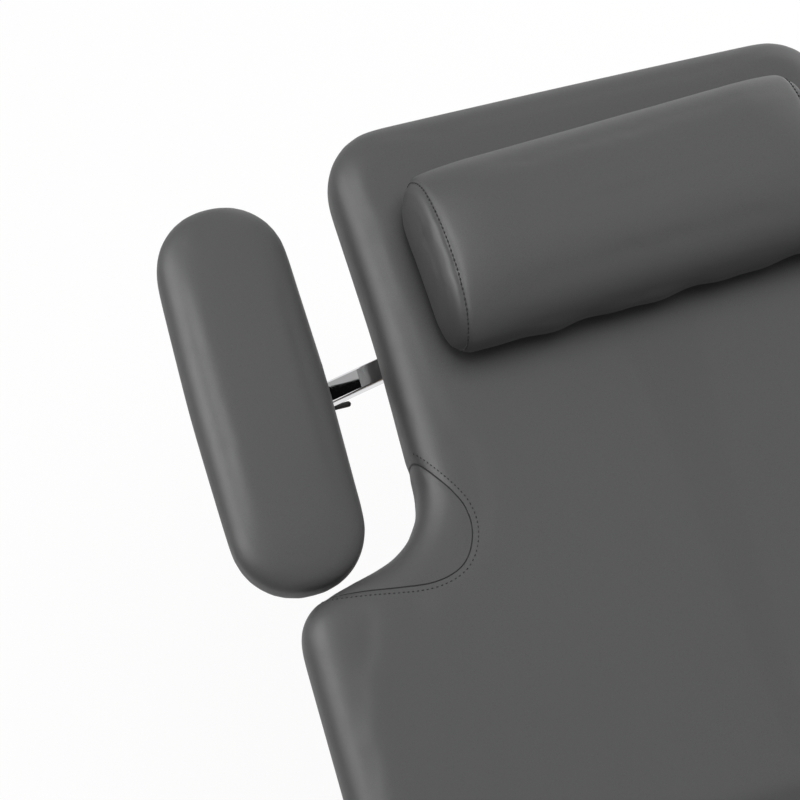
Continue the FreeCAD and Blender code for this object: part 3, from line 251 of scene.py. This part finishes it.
class Finish:
    """A material, or the world, whose nodes are added one call at a time."""

    def __init__(self, name, owner=None):
        self.owner = owner or bpy.data.materials.new(name)
        self.owner.use_nodes = True
        self.tree = self.owner.node_tree
        self.tree.nodes.clear()

    def add(self, kind, options=None, inputs=None, output=0):
        """Adds a node, sets its options, and fills its inputs with values or links."""
        node = self.tree.nodes.new(kind)
        for key, value in (options or {}).items():
            setattr(node, key, value)
        for key, value in (inputs or {}).items():
            if isinstance(value, Socket):
                self.tree.links.new(value.socket, node.inputs[key])
            else:
                node.inputs[key].default_value = value
        return Socket(self, node.outputs[output]) if node.outputs else None

    def place(self, stretch=(1, 1, 1)):
        """Object coordinates, drawn out along the axes."""
        point = self.add("ShaderNodeTexCoord", output="Object")
        return self.add("ShaderNodeMapping", {"vector_type": "POINT"}, {"Vector": point, "Scale": stretch})

    def axis(self, name):
        """One object coordinate."""
        point = self.add("ShaderNodeTexCoord", output="Object")
        return self.add("ShaderNodeSeparateXYZ", inputs={0: point}, output=name)

    def noise(self, scale, stretch=(1, 1, 1), detail=3.0, roughness=0.55):
        """Soft noise from 0 to 1."""
        inputs = {"Vector": self.place(stretch), "Scale": scale, "Detail": detail, "Roughness": roughness}
        return self.add("ShaderNodeTexNoise", {"noise_dimensions": "3D"}, inputs)

    def cells(self, scale):
        """Distance from the edges between irregular cells."""
        inputs = {"Vector": self.place(), "Scale": scale, "Randomness": 1.0}
        return self.add("ShaderNodeTexVoronoi", {"feature": "DISTANCE_TO_EDGE"}, inputs)

    def ramp(self, value, low, high, start=0.0, end=1.0):
        """A smooth step from start to end as the value goes from low to high."""
        inputs = {"Value": value, "From Min": low, "From Max": high, "To Min": start, "To Max": end}
        return self.add("ShaderNodeMapRange", {"interpolation_type": "SMOOTHSTEP", "clamp": True}, inputs)

    def mix(self, factor, first, second):
        """A colour between two, each a tuple or the colour of a node."""
        ends = [(*c, 1.0) if isinstance(c, tuple) else c for c in (first, second)]
        return self.add("ShaderNodeMix", {"data_type": "RGBA"}, {0: factor, 6: ends[0], 7: ends[1]}, output=2)

    def bump(self, height, distance, under=None):
        """A normal tilted by a height, over another bump where one is given."""
        inputs = {"Height": height, "Strength": 1.0, "Distance": distance}
        if under:
            inputs["Normal"] = under
        return self.add("ShaderNodeBump", inputs=inputs)

    def surface(self, colour, roughness, normal=None, **fixed):
        """Ends the material in a Principled shader; fixed values take its input names with underscores."""
        inputs = {"Base Color": colour, "Roughness": roughness}
        if normal:
            inputs["Normal"] = normal
        inputs.update({key.replace("_", " "): value for key, value in fixed.items()})
        shader = self.add("ShaderNodeBsdfPrincipled", inputs=inputs)
        self.add("ShaderNodeOutputMaterial", inputs={"Surface": shader})
        return self.owner


def tone(colour, share):
    """A colour made darker or lighter."""
    return tuple(channel * share for channel in colour)


def leather():
    """Smooth coated leather with fine pores, slow shifts of tone, and the creases of its seams, each with
    painted shade.
    """
    skin = settings().leather
    f = Finish("grey_leather")
    colour = tuple(skin.colour)
    gap = f.add("ShaderNodeAttribute", {"attribute_name": "seam"}, output="Fac") - SEAM_ZERO
    line = f.ramp(abs(gap), 0.0002, 0.0008, 1.0, 0.0)
    pull = f.ramp(abs(gap), 0.001, 0.009, 1.0, 0.0)
    cloud = f.noise(5, detail=2.0)
    pores = f.cells(skin.pores)
    pebble = f.ramp(pores, 0.0, 0.22)
    folds = f.noise(26, detail=4.0)
    pucker = f.noise(150, detail=1.0)
    plain = f.mix(cloud, tone(colour, 0.95), tone(colour, 1.05))
    worn = f.mix(pebble, tone(colour, 0.88), plain)
    # Each seam's crease is drawn as a dark line in the colour: painted shade inside the crease
    base = f.mix(line, worn, tone(colour, 0.16))
    rough = skin.roughness + 0.10 * (f.noise(60) - 0.5) + 0.06 * (1 - pebble) + 0.2 * line
    swell = f.bump(folds, 0.0006)
    drawn = f.bump(pucker * pull - 2.0 * line, 0.0005, swell)
    return f.surface(base, rough, f.bump(pebble, skin.relief, drawn), Specular_IOR_Level=0.22)


def thread():
    """Twisted polyester thread."""
    f = Finish("dark_thread")
    colour = tuple(settings().sewing.thread_colour)
    twist = f.noise(2600, detail=1.0)
    base = f.mix(twist, tone(colour, 0.6), tone(colour, 1.6))
    rough = f.ramp(twist, 0.2, 0.8, 0.5, 0.75)
    return f.surface(base, rough, f.bump(twist, 0.0001), Specular_IOR_Level=0.3)


def plywood():
    """Birch plywood: long grain on the faces and thin plies on the edges."""
    f = Finish("birch_plywood")
    plies = f.ramp(abs((f.axis("Z") * 520).fraction() - 0.5), 0.2, 0.3)
    grain = f.noise(34, (0.12, 1, 1), detail=5.0, roughness=0.6)
    fibre = f.noise(420, (0.05, 1, 1), detail=2.0)
    face = f.mix(f.ramp(grain, 0.3, 0.72), (0.50, 0.36, 0.22), (0.36, 0.23, 0.125))
    base = f.mix(plies * 0.45, face, (0.24, 0.145, 0.08))
    return f.surface(f.mix(fibre * 0.3, base, (0.3, 0.19, 0.1)), f.ramp(fibre, 0.2, 0.8, 0.5, 0.72),
                     f.bump(fibre + grain, 0.0003))


def powder_coat(name, colour, sheen, speck=0.12):
    """Baked powder coat: an orange-peel skin with slow shifts of gloss."""
    f = Finish(name)
    peel = f.noise(380, detail=2.0)
    dust = f.noise(7, detail=6.0, roughness=0.65)
    base = f.mix(f.ramp(dust, 0.35, 0.75), colour, tone(colour, 1 + speck))
    return f.surface(f.mix(f.ramp(peel, 0.45, 0.8) * 0.3, base, tone(colour, 1 - speck)),
                     sheen + 0.12 * (dust - 0.5) + 0.05 * peel, f.bump(peel, 0.00025))


def bright_metal(name, colour, sheen, stretch, streak):
    """Plated or drawn metal with fine lines along its length and faint smears."""
    f = Finish(name)
    lines = f.noise(900, stretch, detail=2.0)
    smear = f.noise(18, detail=5.0)
    base = f.mix(lines * streak + f.ramp(smear, 0.5, 0.9) * 0.12, colour, tone(colour, 0.72))
    rough = sheen + streak * 0.16 * lines + 0.2 * sheen * f.ramp(smear, 0.45, 0.85)
    return f.surface(base, rough, f.bump(lines, 0.00006 * streak), Metallic=1.0)


def moulded(name, colour, sheen, spark=500, depth=0.00012):
    """Moulded plastic with a spark-eroded texture."""
    f = Finish(name)
    pits = f.noise(spark, detail=3.0, roughness=0.7)
    cloud = f.noise(9, detail=3.0)
    base = f.mix(cloud, tone(colour, 0.93), tone(colour, 1.07))
    return f.surface(f.mix(f.ramp(pits, 0.55, 0.85) * 0.4, base, tone(colour, 0.8)),
                     sheen + 0.14 * (pits - 0.5) + 0.06 * cloud, f.bump(pits, depth))


def rubber():
    """Moulded rubber with a chalky bloom."""
    f = Finish("foot_rubber")
    bloom = f.noise(45, detail=5.0)
    pits = f.noise(700, detail=2.0)
    return f.surface(f.mix(f.ramp(bloom, 0.4, 0.8), (0.016, 0.016, 0.016), (0.045, 0.045, 0.044)),
                     f.ramp(bloom, 0.2, 0.8, 0.7, 0.9), f.bump(pits, 0.0002))


def hard_finishes():
    """The finish of every material slot that a hard piece uses."""
    wanted = settings().finish
    return {
        "plywood": plywood(),
        "frame_paint": powder_coat("black_powder_coat", tuple(wanted.frame_colour), sheen=0.42, speck=0.3),
        "pale_paint": powder_coat("pale_powder_coat", tuple(wanted.pale_colour), sheen=0.34),
        "bright_chrome": bright_metal("bright_chrome", tuple(wanted.chrome_colour), sheen=0.01,
                                      stretch=(1, 0.04, 1), streak=0.01),
        "steel": bright_metal("turned_steel", (0.5, 0.5, 0.51), sheen=0.26, stretch=(1, 0.06, 0.06),
                              streak=0.6),
        "tube_aluminium": bright_metal("drawn_aluminium", (0.66, 0.67, 0.68), sheen=0.34,
                                       stretch=(0.03, 1, 1), streak=0.7),
        "pale_plastic": moulded("pale_moulding", (0.64, 0.64, 0.63), sheen=0.42),
        "black_plastic": moulded("black_moulding", (0.018, 0.018, 0.019), sheen=0.46),
        "handset_plastic": moulded("grey_moulding", (0.16, 0.16, 0.165), sheen=0.42, spark=800),
        "key_plastic": moulded("key_moulding", (0.5, 0.5, 0.5), sheen=0.38, spark=1100, depth=0.00006),
        "switch_plastic": moulded("gloss_moulding", (0.012, 0.012, 0.012), sheen=0.16, spark=300,
                                  depth=0.00002),
        "foot_rubber": rubber(),
    }


def points_of(mesh):
    """The mesh's points, one row each."""
    flat = np.empty(len(mesh.vertices) * 3, np.float32)
    mesh.vertices.foreach_get("co", flat)
    return flat.reshape(-1, 3).astype(float)


def normals_of(mesh):
    """The normals at the mesh's points, one row each."""
    flat = np.empty(len(mesh.vertices) * 3, np.float32)
    mesh.vertex_normals.foreach_get("vector", flat)
    return flat.reshape(-1, 3).astype(float)


def put_points(mesh, points):
    """Moves the mesh's points."""
    mesh.vertices.foreach_set("co", points.astype(np.float32).ravel())
    mesh.update()


def settle(piece):
    """Turns a piece's modifiers into plain mesh."""
    graph = bpy.context.evaluated_depsgraph_get()
    made = bpy.data.meshes.new_from_object(piece.evaluated_get(graph), depsgraph=graph)
    old = piece.data
    piece.modifiers.clear()
    piece.data = made
    bpy.data.meshes.remove(old)
    return made


def even_out(piece, rounds):
    """Takes the steps of the voxel mesh out of a piece."""
    form = bmesh.new()
    form.from_mesh(piece.data)
    for _ in range(rounds):
        bmesh.ops.smooth_vert(form, verts=form.verts, factor=0.5, use_axis_x=True, use_axis_y=True,
                              use_axis_z=True)
    form.to_mesh(piece.data)
    form.free()


def blow_up(piece, floor, rise, walls):
    """Lets pressure swell the skin above its underside, each point straight out and within a limit."""
    padding = settings().padding
    start, out = points_of(piece.data), normals_of(piece.data)
    held = piece.vertex_groups.new(name="underside")
    held.add(np.flatnonzero(start[:, 2] < floor).tolist(), 1.0, "REPLACE")
    cloth = piece.modifiers.new("Skin", "CLOTH")
    skin = cloth.settings
    skin.use_pressure = True
    skin.uniform_pressure_force = padding.pressure
    skin.effector_weights.gravity = 0
    skin.vertex_group_mass = "underside"
    skin.quality = 4
    skin.tension_stiffness = 8
    skin.compression_stiffness = 8
    skin.shear_stiffness = 5
    skin.bending_stiffness = 2
    cloth.collision_settings.use_self_collision = False
    cloth.point_cache.frame_start = 1
    cloth.point_cache.frame_end = padding.frames
    for step in range(1, padding.frames + 1):
        bpy.context.scene.frame_set(step)
    swollen = points_of(settle(piece))
    bpy.context.scene.frame_set(1)
    swell = np.sum((swollen - start) * out, axis=1, keepdims=True)
    share = walls + (1 - walls) * np.clip(out[:, 2:], 0, 1)
    limit = np.where(swell > 0, rise, SINK_SHARE * rise) * share
    put_points(piece.data, start + out * limit * np.tanh(swell / limit))


def stuff(node, grid, inset, rise, fill, walls):
    """A padded piece: the pad's solid, evenly meshed, drawn in a little and swollen back."""
    form = bmesh.new()
    form.from_mesh(nodes[node].data)
    bmesh.ops.remove_doubles(form, verts=form.verts, dist=WELD)
    mesh = bpy.data.meshes.new(node + "_skin")
    form.to_mesh(mesh)
    form.free()
    piece = bpy.data.objects.new(node + "_skin", mesh)
    bpy.context.scene.collection.objects.link(piece)
    remesh = piece.modifiers.new("Even mesh", "REMESH")
    remesh.mode = "VOXEL"
    remesh.voxel_size = grid
    settle(piece)
    even_out(piece, rounds=4)
    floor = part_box(node)[0].z + 2 * grid
    points = points_of(piece.data)
    out = normals_of(piece.data)
    put_points(piece.data, points - out * inset * np.clip(out[:, 2:], 0, 1) ** 2)
    blow_up(piece, floor, rise, walls)
    even_out(piece, rounds=2)
    finer = piece.modifiers.new("Finer", "SUBSURF")
    finer.levels = finer.render_levels = 1
    settle(piece)
    piece.data.polygons.foreach_set("use_smooth", [True] * len(piece.data.polygons))
    piece.data.materials.clear()
    piece.data.materials.append(bpy.data.materials["grey_leather"])
    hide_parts(node)
    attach(piece, body_of[node])
    return piece


def sew(piece, gap, depth, width, fineness=1):
    """Pulls the skin in along a seam and stores each point's distance from it, for the leather's crease."""
    mesh = piece.data
    points = points_of(mesh) - normals_of(mesh) * (depth * np.exp(-(gap / width) ** 2))[:, None]
    put_points(mesh, points)
    stored = mesh.attributes.new("seam", "FLOAT", "POINT")
    away = np.clip(gap * fineness, -SEAM_REACH, SEAM_REACH)
    stored.data.foreach_set("value", (away + SEAM_ZERO).astype(np.float32))


def smooth_path(knots, steps=10):
    """A smooth line through plan points."""
    knots = [Vector((*k, 0)) for k in knots]
    line = []
    for n in range(1, len(knots) - 2):
        a, b = knots[n], knots[n + 1]
        first, second = a + (b - knots[n - 1]) / 6, b - (knots[n + 2] - a) / 6
        line += interpolate_bezier(a, first, second, b, steps + 1)[:-1]
    return [*line, knots[-2]]


def paced(line, pitch, closed=False):
    """Points at an even pitch along a line, each with its direction."""
    ends = [*line, line[0]] if closed else line
    runs = np.array([(b - a).length for a, b in zip(ends, ends[1:])])
    marks = np.concatenate([[0], np.cumsum(runs)])
    count = int(marks[-1] // pitch)
    step = marks[-1] / count
    found = []
    for n in range(count):
        at = (n + 0.5) * step
        k = min(int(np.searchsorted(marks, at)) - 1, len(runs) - 1)
        a, b = ends[k], ends[k + 1]
        found.append((a.lerp(b, (at - marks[k]) / runs[k]), (b - a).normalized()))
    return found


def distance_to(line, plan):
    """Signed distance of plan points from a line, positive on its left."""
    spots = np.array([p[:2] for p in line])
    best = np.full(len(plan), 1.0)
    for a, b in zip(spots, spots[1:]):
        run = b - a
        share = np.clip((plan - a) @ run / (run @ run), 0, 1)
        away = plan - a - share[:, None] * run
        side = np.sign(run[0] * (plan[:, 1] - a[1]) - run[1] * (plan[:, 0] - a[0]))
        gap = np.linalg.norm(away, axis=1) * np.where(side == 0, 1, side)
        nearer = np.abs(gap) < np.abs(best)
        best[nearer] = gap[nearer]
    return best


def crossing(piece, level):
    """The points where a level given at each point of the mesh passes through zero."""
    points = points_of(piece.data)
    ends = np.empty(len(piece.data.edges) * 2, np.int32)
    piece.data.edges.foreach_get("vertices", ends)
    first, second = ends.reshape(-1, 2)[level[ends.reshape(-1, 2)].prod(axis=1) < 0].T
    share = (level[first] / (level[first] - level[second]))[:, None]
    return [Vector(spot) for spot in points[first] * (1 - share) + points[second] * share]


def skin_tree(piece):
    """A tree of the piece's faces, for finding points on its skin."""
    form = bmesh.new()
    form.from_mesh(piece.data)
    tree = BVHTree.FromBMesh(form)
    form.free()
    return tree


def stitch_row(name, spots, body, length, radius):
    """A row of stitches: each a small rounded thread laid along the seam."""
    form = bmesh.new()
    for point, along, out in spots:
        across = out.cross(along).normalized()
        turn = Matrix((along, across, along.cross(across))).transposed().to_4x4()
        size = Matrix.Diagonal((length / (2 * radius), 1, 1, 1))
        bmesh.ops.create_uvsphere(form, u_segments=6, v_segments=4, radius=radius,
                                  matrix=Matrix.Translation(point + out * radius * 0.25) @ turn @ size)
    mesh = bpy.data.meshes.new(name)
    form.to_mesh(mesh)
    form.free()
    mesh.polygons.foreach_set("use_smooth", [True] * len(mesh.polygons))
    mesh.materials.append(bpy.data.materials["dark_thread"])
    piece = bpy.data.objects.new(name, mesh)
    bpy.context.scene.collection.objects.link(piece)
    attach(piece, body)


class TABLE_OT_finishes(bpy.types.Operator):
    """Makes the finishes and lays them on the hard pieces."""
    bl_idname = "massage_table.finishes"
    bl_label = "Finishes"

    def execute(self, context):
        leather()
        thread()
        made = hard_finishes()
        for node, slot in slot_of.items():
            if slot in made:
                nodes[node].data.materials.clear()
                nodes[node].data.materials.append(made[slot])
        return {"FINISHED"}


class TABLE_OT_backrest_pad(bpy.types.Operator):
    """Pads the backrest, with a sewn gusset at each side of the waist."""
    bl_idname = "massage_table.backrest_pad"
    bl_label = "Backrest pad"

    def execute(self, context):
        table = settings()
        sewing = table.sewing
        pad = stuff("backrest_cushion", table.padding.big_grid, **SECTION_PAD)
        line = smooth_path(GUSSET)
        plan = points_of(pad.data)[:, :2]
        plan[:, 1] = np.abs(plan[:, 1])
        sew(pad, distance_to(line, plan), sewing.depth, GUSSET_SEAM_WIDTH)
        tree = skin_tree(pad)
        for name, side in (("right", 1), ("left", -1)):
            spots = []
            for point, along in paced(line, sewing.pitch):
                shift = Vector((along.y, -along.x, 0)) * -sewing.lap
                top = Vector((point.x + shift.x, side * (point.y + shift.y), ABOVE_PADS))
                hit, out, _, _ = tree.ray_cast(top, -UP)
                if hit and out.z > LEAST_FACING:
                    level = Vector((along.x, side * along.y, 0))
                    spots.append((hit, (level - out * level.dot(out)).normalized(), out))
            stitch_row(f"gusset_stitches_{name}", spots, body_of["backrest_cushion"], sewing.stitch,
                       sewing.thread)
        return {"FINISHED"}


class TABLE_OT_section_pads(bpy.types.Operator):
    """Pads the seat and the leg section."""
    bl_idname = "massage_table.section_pads"
    bl_label = "Seat and leg pads"

    def execute(self, context):
        for node in ("seat_cushion", "legrest_cushion"):
            stuff(node, settings().padding.big_grid, **SECTION_PAD)
        return {"FINISHED"}


class TABLE_OT_armrest_pads(bpy.types.Operator):
    """Pads both armrests, whose tops slope."""
    bl_idname = "massage_table.armrest_pads"
    bl_label = "Armrest pads"

    def execute(self, context):
        for node in ("armrest_pad_right", "armrest_pad_left"):
            pad = stuff(node, settings().padding.small_grid, **ARMREST_PAD)
            self.slope(pad, *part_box(node))
        return {"FINISHED"}

    def slope(self, pad, low, high):
        """Lets the top fall away towards the foot, and there towards the table."""
        centre, half = (low + high) / 2, (high - low) / 2
        points = points_of(pad.data)
        foot = np.clip((centre.x - points[:, 0]) / half.x, 0, 1)
        inner = np.clip((abs(centre.y) - np.abs(points[:, 1])) / half.y, 0, 1)
        upper = np.clip((points[:, 2] - centre.z) / half.z, 0, 1)
        points[:, 2] -= upper * foot * (ARMREST_FOOT_FALL * foot + ARMREST_INNER_FALL * inner ** 2)
        put_points(pad.data, points)


class TABLE_OT_pillow(bpy.types.Operator):
    """Stuffs the bolster pillow, with a stitched seam round each end."""
    bl_idname = "massage_table.pillow"
    bl_label = "Pillow"

    def execute(self, context):
        padding, sewing = settings().padding, settings().sewing
        low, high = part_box("pillow")
        centre = (low + high) / 2
        turn = Matrix.Rotation(padding.pillow_turn, 3, "Z")
        headward, along = turn @ Vector((1, 0, 0)), turn @ Vector((0, 1, 0))
        length = max(abs((corner.co - centre).dot(along)) for corner in nodes["pillow"].data.vertices)
        pad = stuff("pillow", padding.small_grid, **BOLSTER_PAD)
        points = points_of(pad.data)
        lengthwise, wide = (points - centre) @ along, (points - centre) @ headward
        below = centre.z - points[:, 2]
        upper = np.clip((points[:, 2] - centre.z) / (high.z - centre.z), 0, 1)
        lift = np.clip((points[:, 2] - low.z) / (high.z - low.z), 0, 1)
        tip = np.abs(lengthwise) - length
        points -= self.ripple(lengthwise, wide, below)[:, None] * np.array(headward)
        points += (np.sign(lengthwise) * self.push(tip, wide, lift))[:, None] * np.array(along)
        points[:, 2] -= self.drop(tip, lift)
        put_points(pad.data, points)
        reach = length - padding.pillow_end
        gap = np.abs(lengthwise) - reach + padding.pillow_bow * upper ** 2
        sew(pad, gap, sewing.depth * PILLOW_SEAM_DEEPER, PILLOW_SEAM_WIDTH, PILLOW_SEAM_FINER)
        tree = skin_tree(pad)
        for name, side in (("right", 1), ("left", -1)):
            ring = crossing(pad, np.where(lengthwise * side > 0, gap, -1.0))
            ring.sort(key=lambda spot: math.atan2(spot.z - centre.z, (spot - centre).dot(headward)))
            spots = []
            for point, ahead in paced(ring, sewing.long_pitch, closed=True):
                out = tree.find_nearest(point)[1]
                spots.append((point, (ahead - out * ahead.dot(out)).normalized(), out))
            stitch_row(f"pillow_stitches_{name}", spots, body_of["pillow"], sewing.long_stitch,
                       sewing.thread * PILLOW_THREAD_THICKER)
        return {"FINISHED"}

    def ripple(self, lengthwise, wide, below):
        """How far the foot side is drawn in and out, low down."""
        wave = sum(share * np.sin(lengthwise * rate + start) for share, rate, start in RIPPLES)
        foot = np.clip((-RIPPLE_START - wide) / RIPPLE_FADE, 0, 1) * np.clip(below / RIPPLE_DEPTH, 0, 1)
        return RIPPLE_HEIGHT * wave * foot

    def push(self, tip, wide, lift):
        """How far an end moves outwards: more on the foot side, and less on the upper part of its cap."""
        near = np.clip(1 + tip / END_LENGTH, 0, 1)
        cap = np.clip(1 + tip / CAP_LENGTH, 0, 1)
        return near ** 2 * (3 - 2 * near) * (END_PUSH - END_SKEW * wide) - CAP_PULL * cap * lift

    def drop(self, tip, lift):
        """How far an end falls towards its seam."""
        fall = np.clip((tip + FALL_START) / FALL_LENGTH, 0, 1)
        return FALL_DROP * fall ** 2 * lift ** FALL_POWER


class TABLE_OT_key_marks(bpy.types.Operator):
    """Raises an up and a down mark on each key of the handset."""
    bl_idname = "massage_table.key_marks"
    bl_label = "Key marks"

    def execute(self, context):
        for node in ("key_back", "key_leg", "key_height"):
            low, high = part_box(node)
            middle = (low + high) / 2
            form = bmesh.new()
            for side in (1, -1):
                spot = Vector((middle.x + side * MARK_SHIFT, low.y, middle.z))
                upright, pointed = math.radians(90), math.radians(90 * side)
                turn = Matrix.Rotation(upright, 4, "X") @ Matrix.Rotation(pointed, 4, "Z")
                made = bmesh.ops.create_cone(form, cap_ends=True, segments=3, radius1=MARK_FOOT,
                                             radius2=MARK_TOP, depth=MARK_HEIGHT,
                                             matrix=Matrix.Translation(spot) @ turn)
                edges = {edge for corner in made["verts"] for edge in corner.link_edges}
                bmesh.ops.bevel(form, geom=list(edges), offset=MARK_EDGE, offset_type="OFFSET",
                                affect="EDGES", segments=2, profile=0.5, material=-1)
            bmesh.ops.recalc_face_normals(form, faces=form.faces)
            mesh = bpy.data.meshes.new(node + "_marks")
            form.to_mesh(mesh)
            form.free()
            mesh.materials.append(bpy.data.materials["grey_moulding"])
            piece = bpy.data.objects.new(node + "_marks", mesh)
            context.scene.collection.objects.link(piece)
            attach(piece, body_of[node])
        return {"FINISHED"}


def seen(f):
    """1 for rays that show the background: from the camera, and in metal and glass."""
    path = f.add("ShaderNodeLightPath", output="Is Camera Ray")
    node = path.socket.node
    for name in ("Is Glossy Ray", "Is Transmission Ray"):
        path = path.math("MAXIMUM", path, Socket(f, node.outputs[name]))
    return path


def box_light(name, place, aim, wide, power, mirrored=True, spread=True):
    """A square lamp, shown in reflections where mirrored, and lighting matt surfaces where spread."""
    lamp = bpy.data.lights.new(name, "AREA")
    lamp.shape = "SQUARE"
    lamp.size = wide
    lamp.energy = power
    holder = bpy.data.objects.new(name, lamp)
    bpy.context.scene.collection.objects.link(holder)
    holder.location = place
    holder.visible_glossy = mirrored
    holder.visible_diffuse = spread
    holder.rotation_euler = (Vector(aim) - Vector(place)).to_track_quat("-Z", "Y").to_euler()


class TABLE_OT_studio(bpy.types.Operator):
    """Sets the floor, the light and the camera."""
    bl_idname = "massage_table.studio"
    bl_label = "Studio"

    def execute(self, context):
        scene = context.scene
        scene.view_settings.view_transform = "Standard"
        self.lay_floor(scene)
        self.light_room(scene)
        self.hang_card(scene)
        self.place_camera(scene)
        return {"FINISHED"}

    def lay_floor(self, scene):
        """A wide matt floor that looks white and keeps a faint shadow."""
        form = bmesh.new()
        bmesh.ops.create_grid(form, x_segments=8, y_segments=8, size=FLOOR_HALF,
                              matrix=Matrix.Translation((0, 0, -FLOOR_DROP)))
        mesh = bpy.data.meshes.new("studio_floor")
        form.to_mesh(mesh)
        form.free()
        f = Finish("pale_floor")
        glow = f.add("ShaderNodeEmission", inputs={"Color": (1, 1, 1, 1), "Strength": 1.0})
        matt = f.add("ShaderNodeBsdfDiffuse", inputs={"Color": (1, 1, 1, 1), "Roughness": 0.5})
        share = seen(f) * FLOOR_GLOW
        mixed = f.add("ShaderNodeMixShader", inputs={0: share, 1: matt, 2: glow})
        f.add("ShaderNodeOutputMaterial", inputs={"Surface": mixed})
        mesh.materials.append(f.owner)
        floor = bpy.data.objects.new("studio_floor", mesh)
        scene.collection.objects.link(floor)

    def light_room(self, scene):
        """A white room with little light of its own, a side box for highlights, an upper and a low box."""
        studio = settings().studio
        world = bpy.data.worlds.new("studio")
        scene.world = world
        f = Finish("studio", world)
        level = seen(f) * (1 - studio.fill) + studio.fill
        room = f.add("ShaderNodeBackground", inputs={"Color": (1, 1, 1, 1), "Strength": level})
        f.add("ShaderNodeOutputWorld", inputs={"Surface": room})
        box_light("key_box", place=(1.45, 2.5, 1.7), aim=(0.7, 0.25, 0.6), wide=2.2, power=studio.key,
                  spread=False)
        box_light("top_box", place=(1.7, -0.65, 5.75), aim=(0.5, 0.1, 0.6), wide=3.6, power=studio.top,
                  mirrored=False)
        box_light("low_box", place=(2.0, -2.0, 0.35), aim=(0, 0, 0.3), wide=0.5, power=studio.low,
                  mirrored=False)

    def hang_card(self, scene):
        """A dark card with a grey strip, hung overhead, that only bright metal mirrors."""
        form = bmesh.new()
        bmesh.ops.create_grid(form, x_segments=1, y_segments=1, size=CARD_HALF,
                              matrix=Matrix.Translation(CARD_PLACE))
        bmesh.ops.bisect_plane(form, geom=[*form.verts, *form.edges, *form.faces], dist=1e-6,
                               plane_co=(CARD_SPLIT, 0, CARD_PLACE[2]), plane_no=(1, CARD_SKEW, 0))
        for face in form.faces:
            face.material_index = int(face.calc_center_median().x > CARD_SPLIT)
        mesh = bpy.data.meshes.new("studio_card")
        form.to_mesh(mesh)
        form.free()
        for name, level in CARD_TONES:
            f = Finish(name)
            glow = f.add("ShaderNodeEmission", inputs={"Color": (level, level, level, 1), "Strength": 1.0})
            f.add("ShaderNodeOutputMaterial", inputs={"Surface": glow})
            mesh.materials.append(f.owner)
        card = bpy.data.objects.new("studio_card", mesh)
        scene.collection.objects.link(card)
        card.visible_camera = card.visible_diffuse = card.visible_shadow = False

    def place_camera(self, scene):
        """The camera of the photograph, high over the right side of the table."""
        lens = bpy.data.cameras.new("camera")
        lens.lens = settings().studio.lens
        lens.sensor_width = SENSOR_WIDTH
        camera = bpy.data.objects.new("camera", lens)
        scene.collection.objects.link(camera)
        axes = Matrix((CAMERA_RIGHT, CAMERA_UP, CAMERA_BACK)).transposed().to_4x4()
        camera.matrix_world = Matrix.Translation(CAMERA_PLACE) @ axes
        scene.camera = camera


class TABLE_PT_panel(bpy.types.Panel):
    """Lists the steps that dress the table."""
    bl_idname = "TABLE_PT_panel"
    bl_label = "Massage table"
    bl_space_type = "VIEW_3D"
    bl_region_type = "UI"
    bl_category = "Table"

    def draw(self, context):
        for step in STEPS:
            self.layout.operator(step.bl_idname)
        for group in ("leather", "sewing", "padding", "finish", "studio"):
            values = getattr(context.scene.massage_table, group)
            for name in type(values).__annotations__:
                self.layout.prop(values, name)


GROUPS = (LeatherSettings, SewingSettings, PaddingSettings, FinishSettings, StudioSettings, TableSettings)
STEPS = (TABLE_OT_finishes, TABLE_OT_backrest_pad, TABLE_OT_section_pads, TABLE_OT_armrest_pads,
         TABLE_OT_pillow, TABLE_OT_key_marks, TABLE_OT_studio)


def register():
    """Adds the settings, the steps and the panel to Blender."""
    for item in (*GROUPS, *STEPS, TABLE_PT_panel):
        bpy.utils.register_class(item)
    bpy.types.Scene.massage_table = PointerProperty(type=TableSettings)


def unregister():
    """Takes them out again."""
    del bpy.types.Scene.massage_table
    for item in reversed((*GROUPS, *STEPS, TABLE_PT_panel)):
        bpy.utils.unregister_class(item)


def main():
    """Dresses the table."""
    register()
    ops = bpy.ops.massage_table
    for step in (ops.finishes, ops.backrest_pad, ops.section_pads, ops.armrest_pads, ops.pillow,
                 ops.key_marks, ops.studio):
        step()


if __name__ == "__main__":
    main()
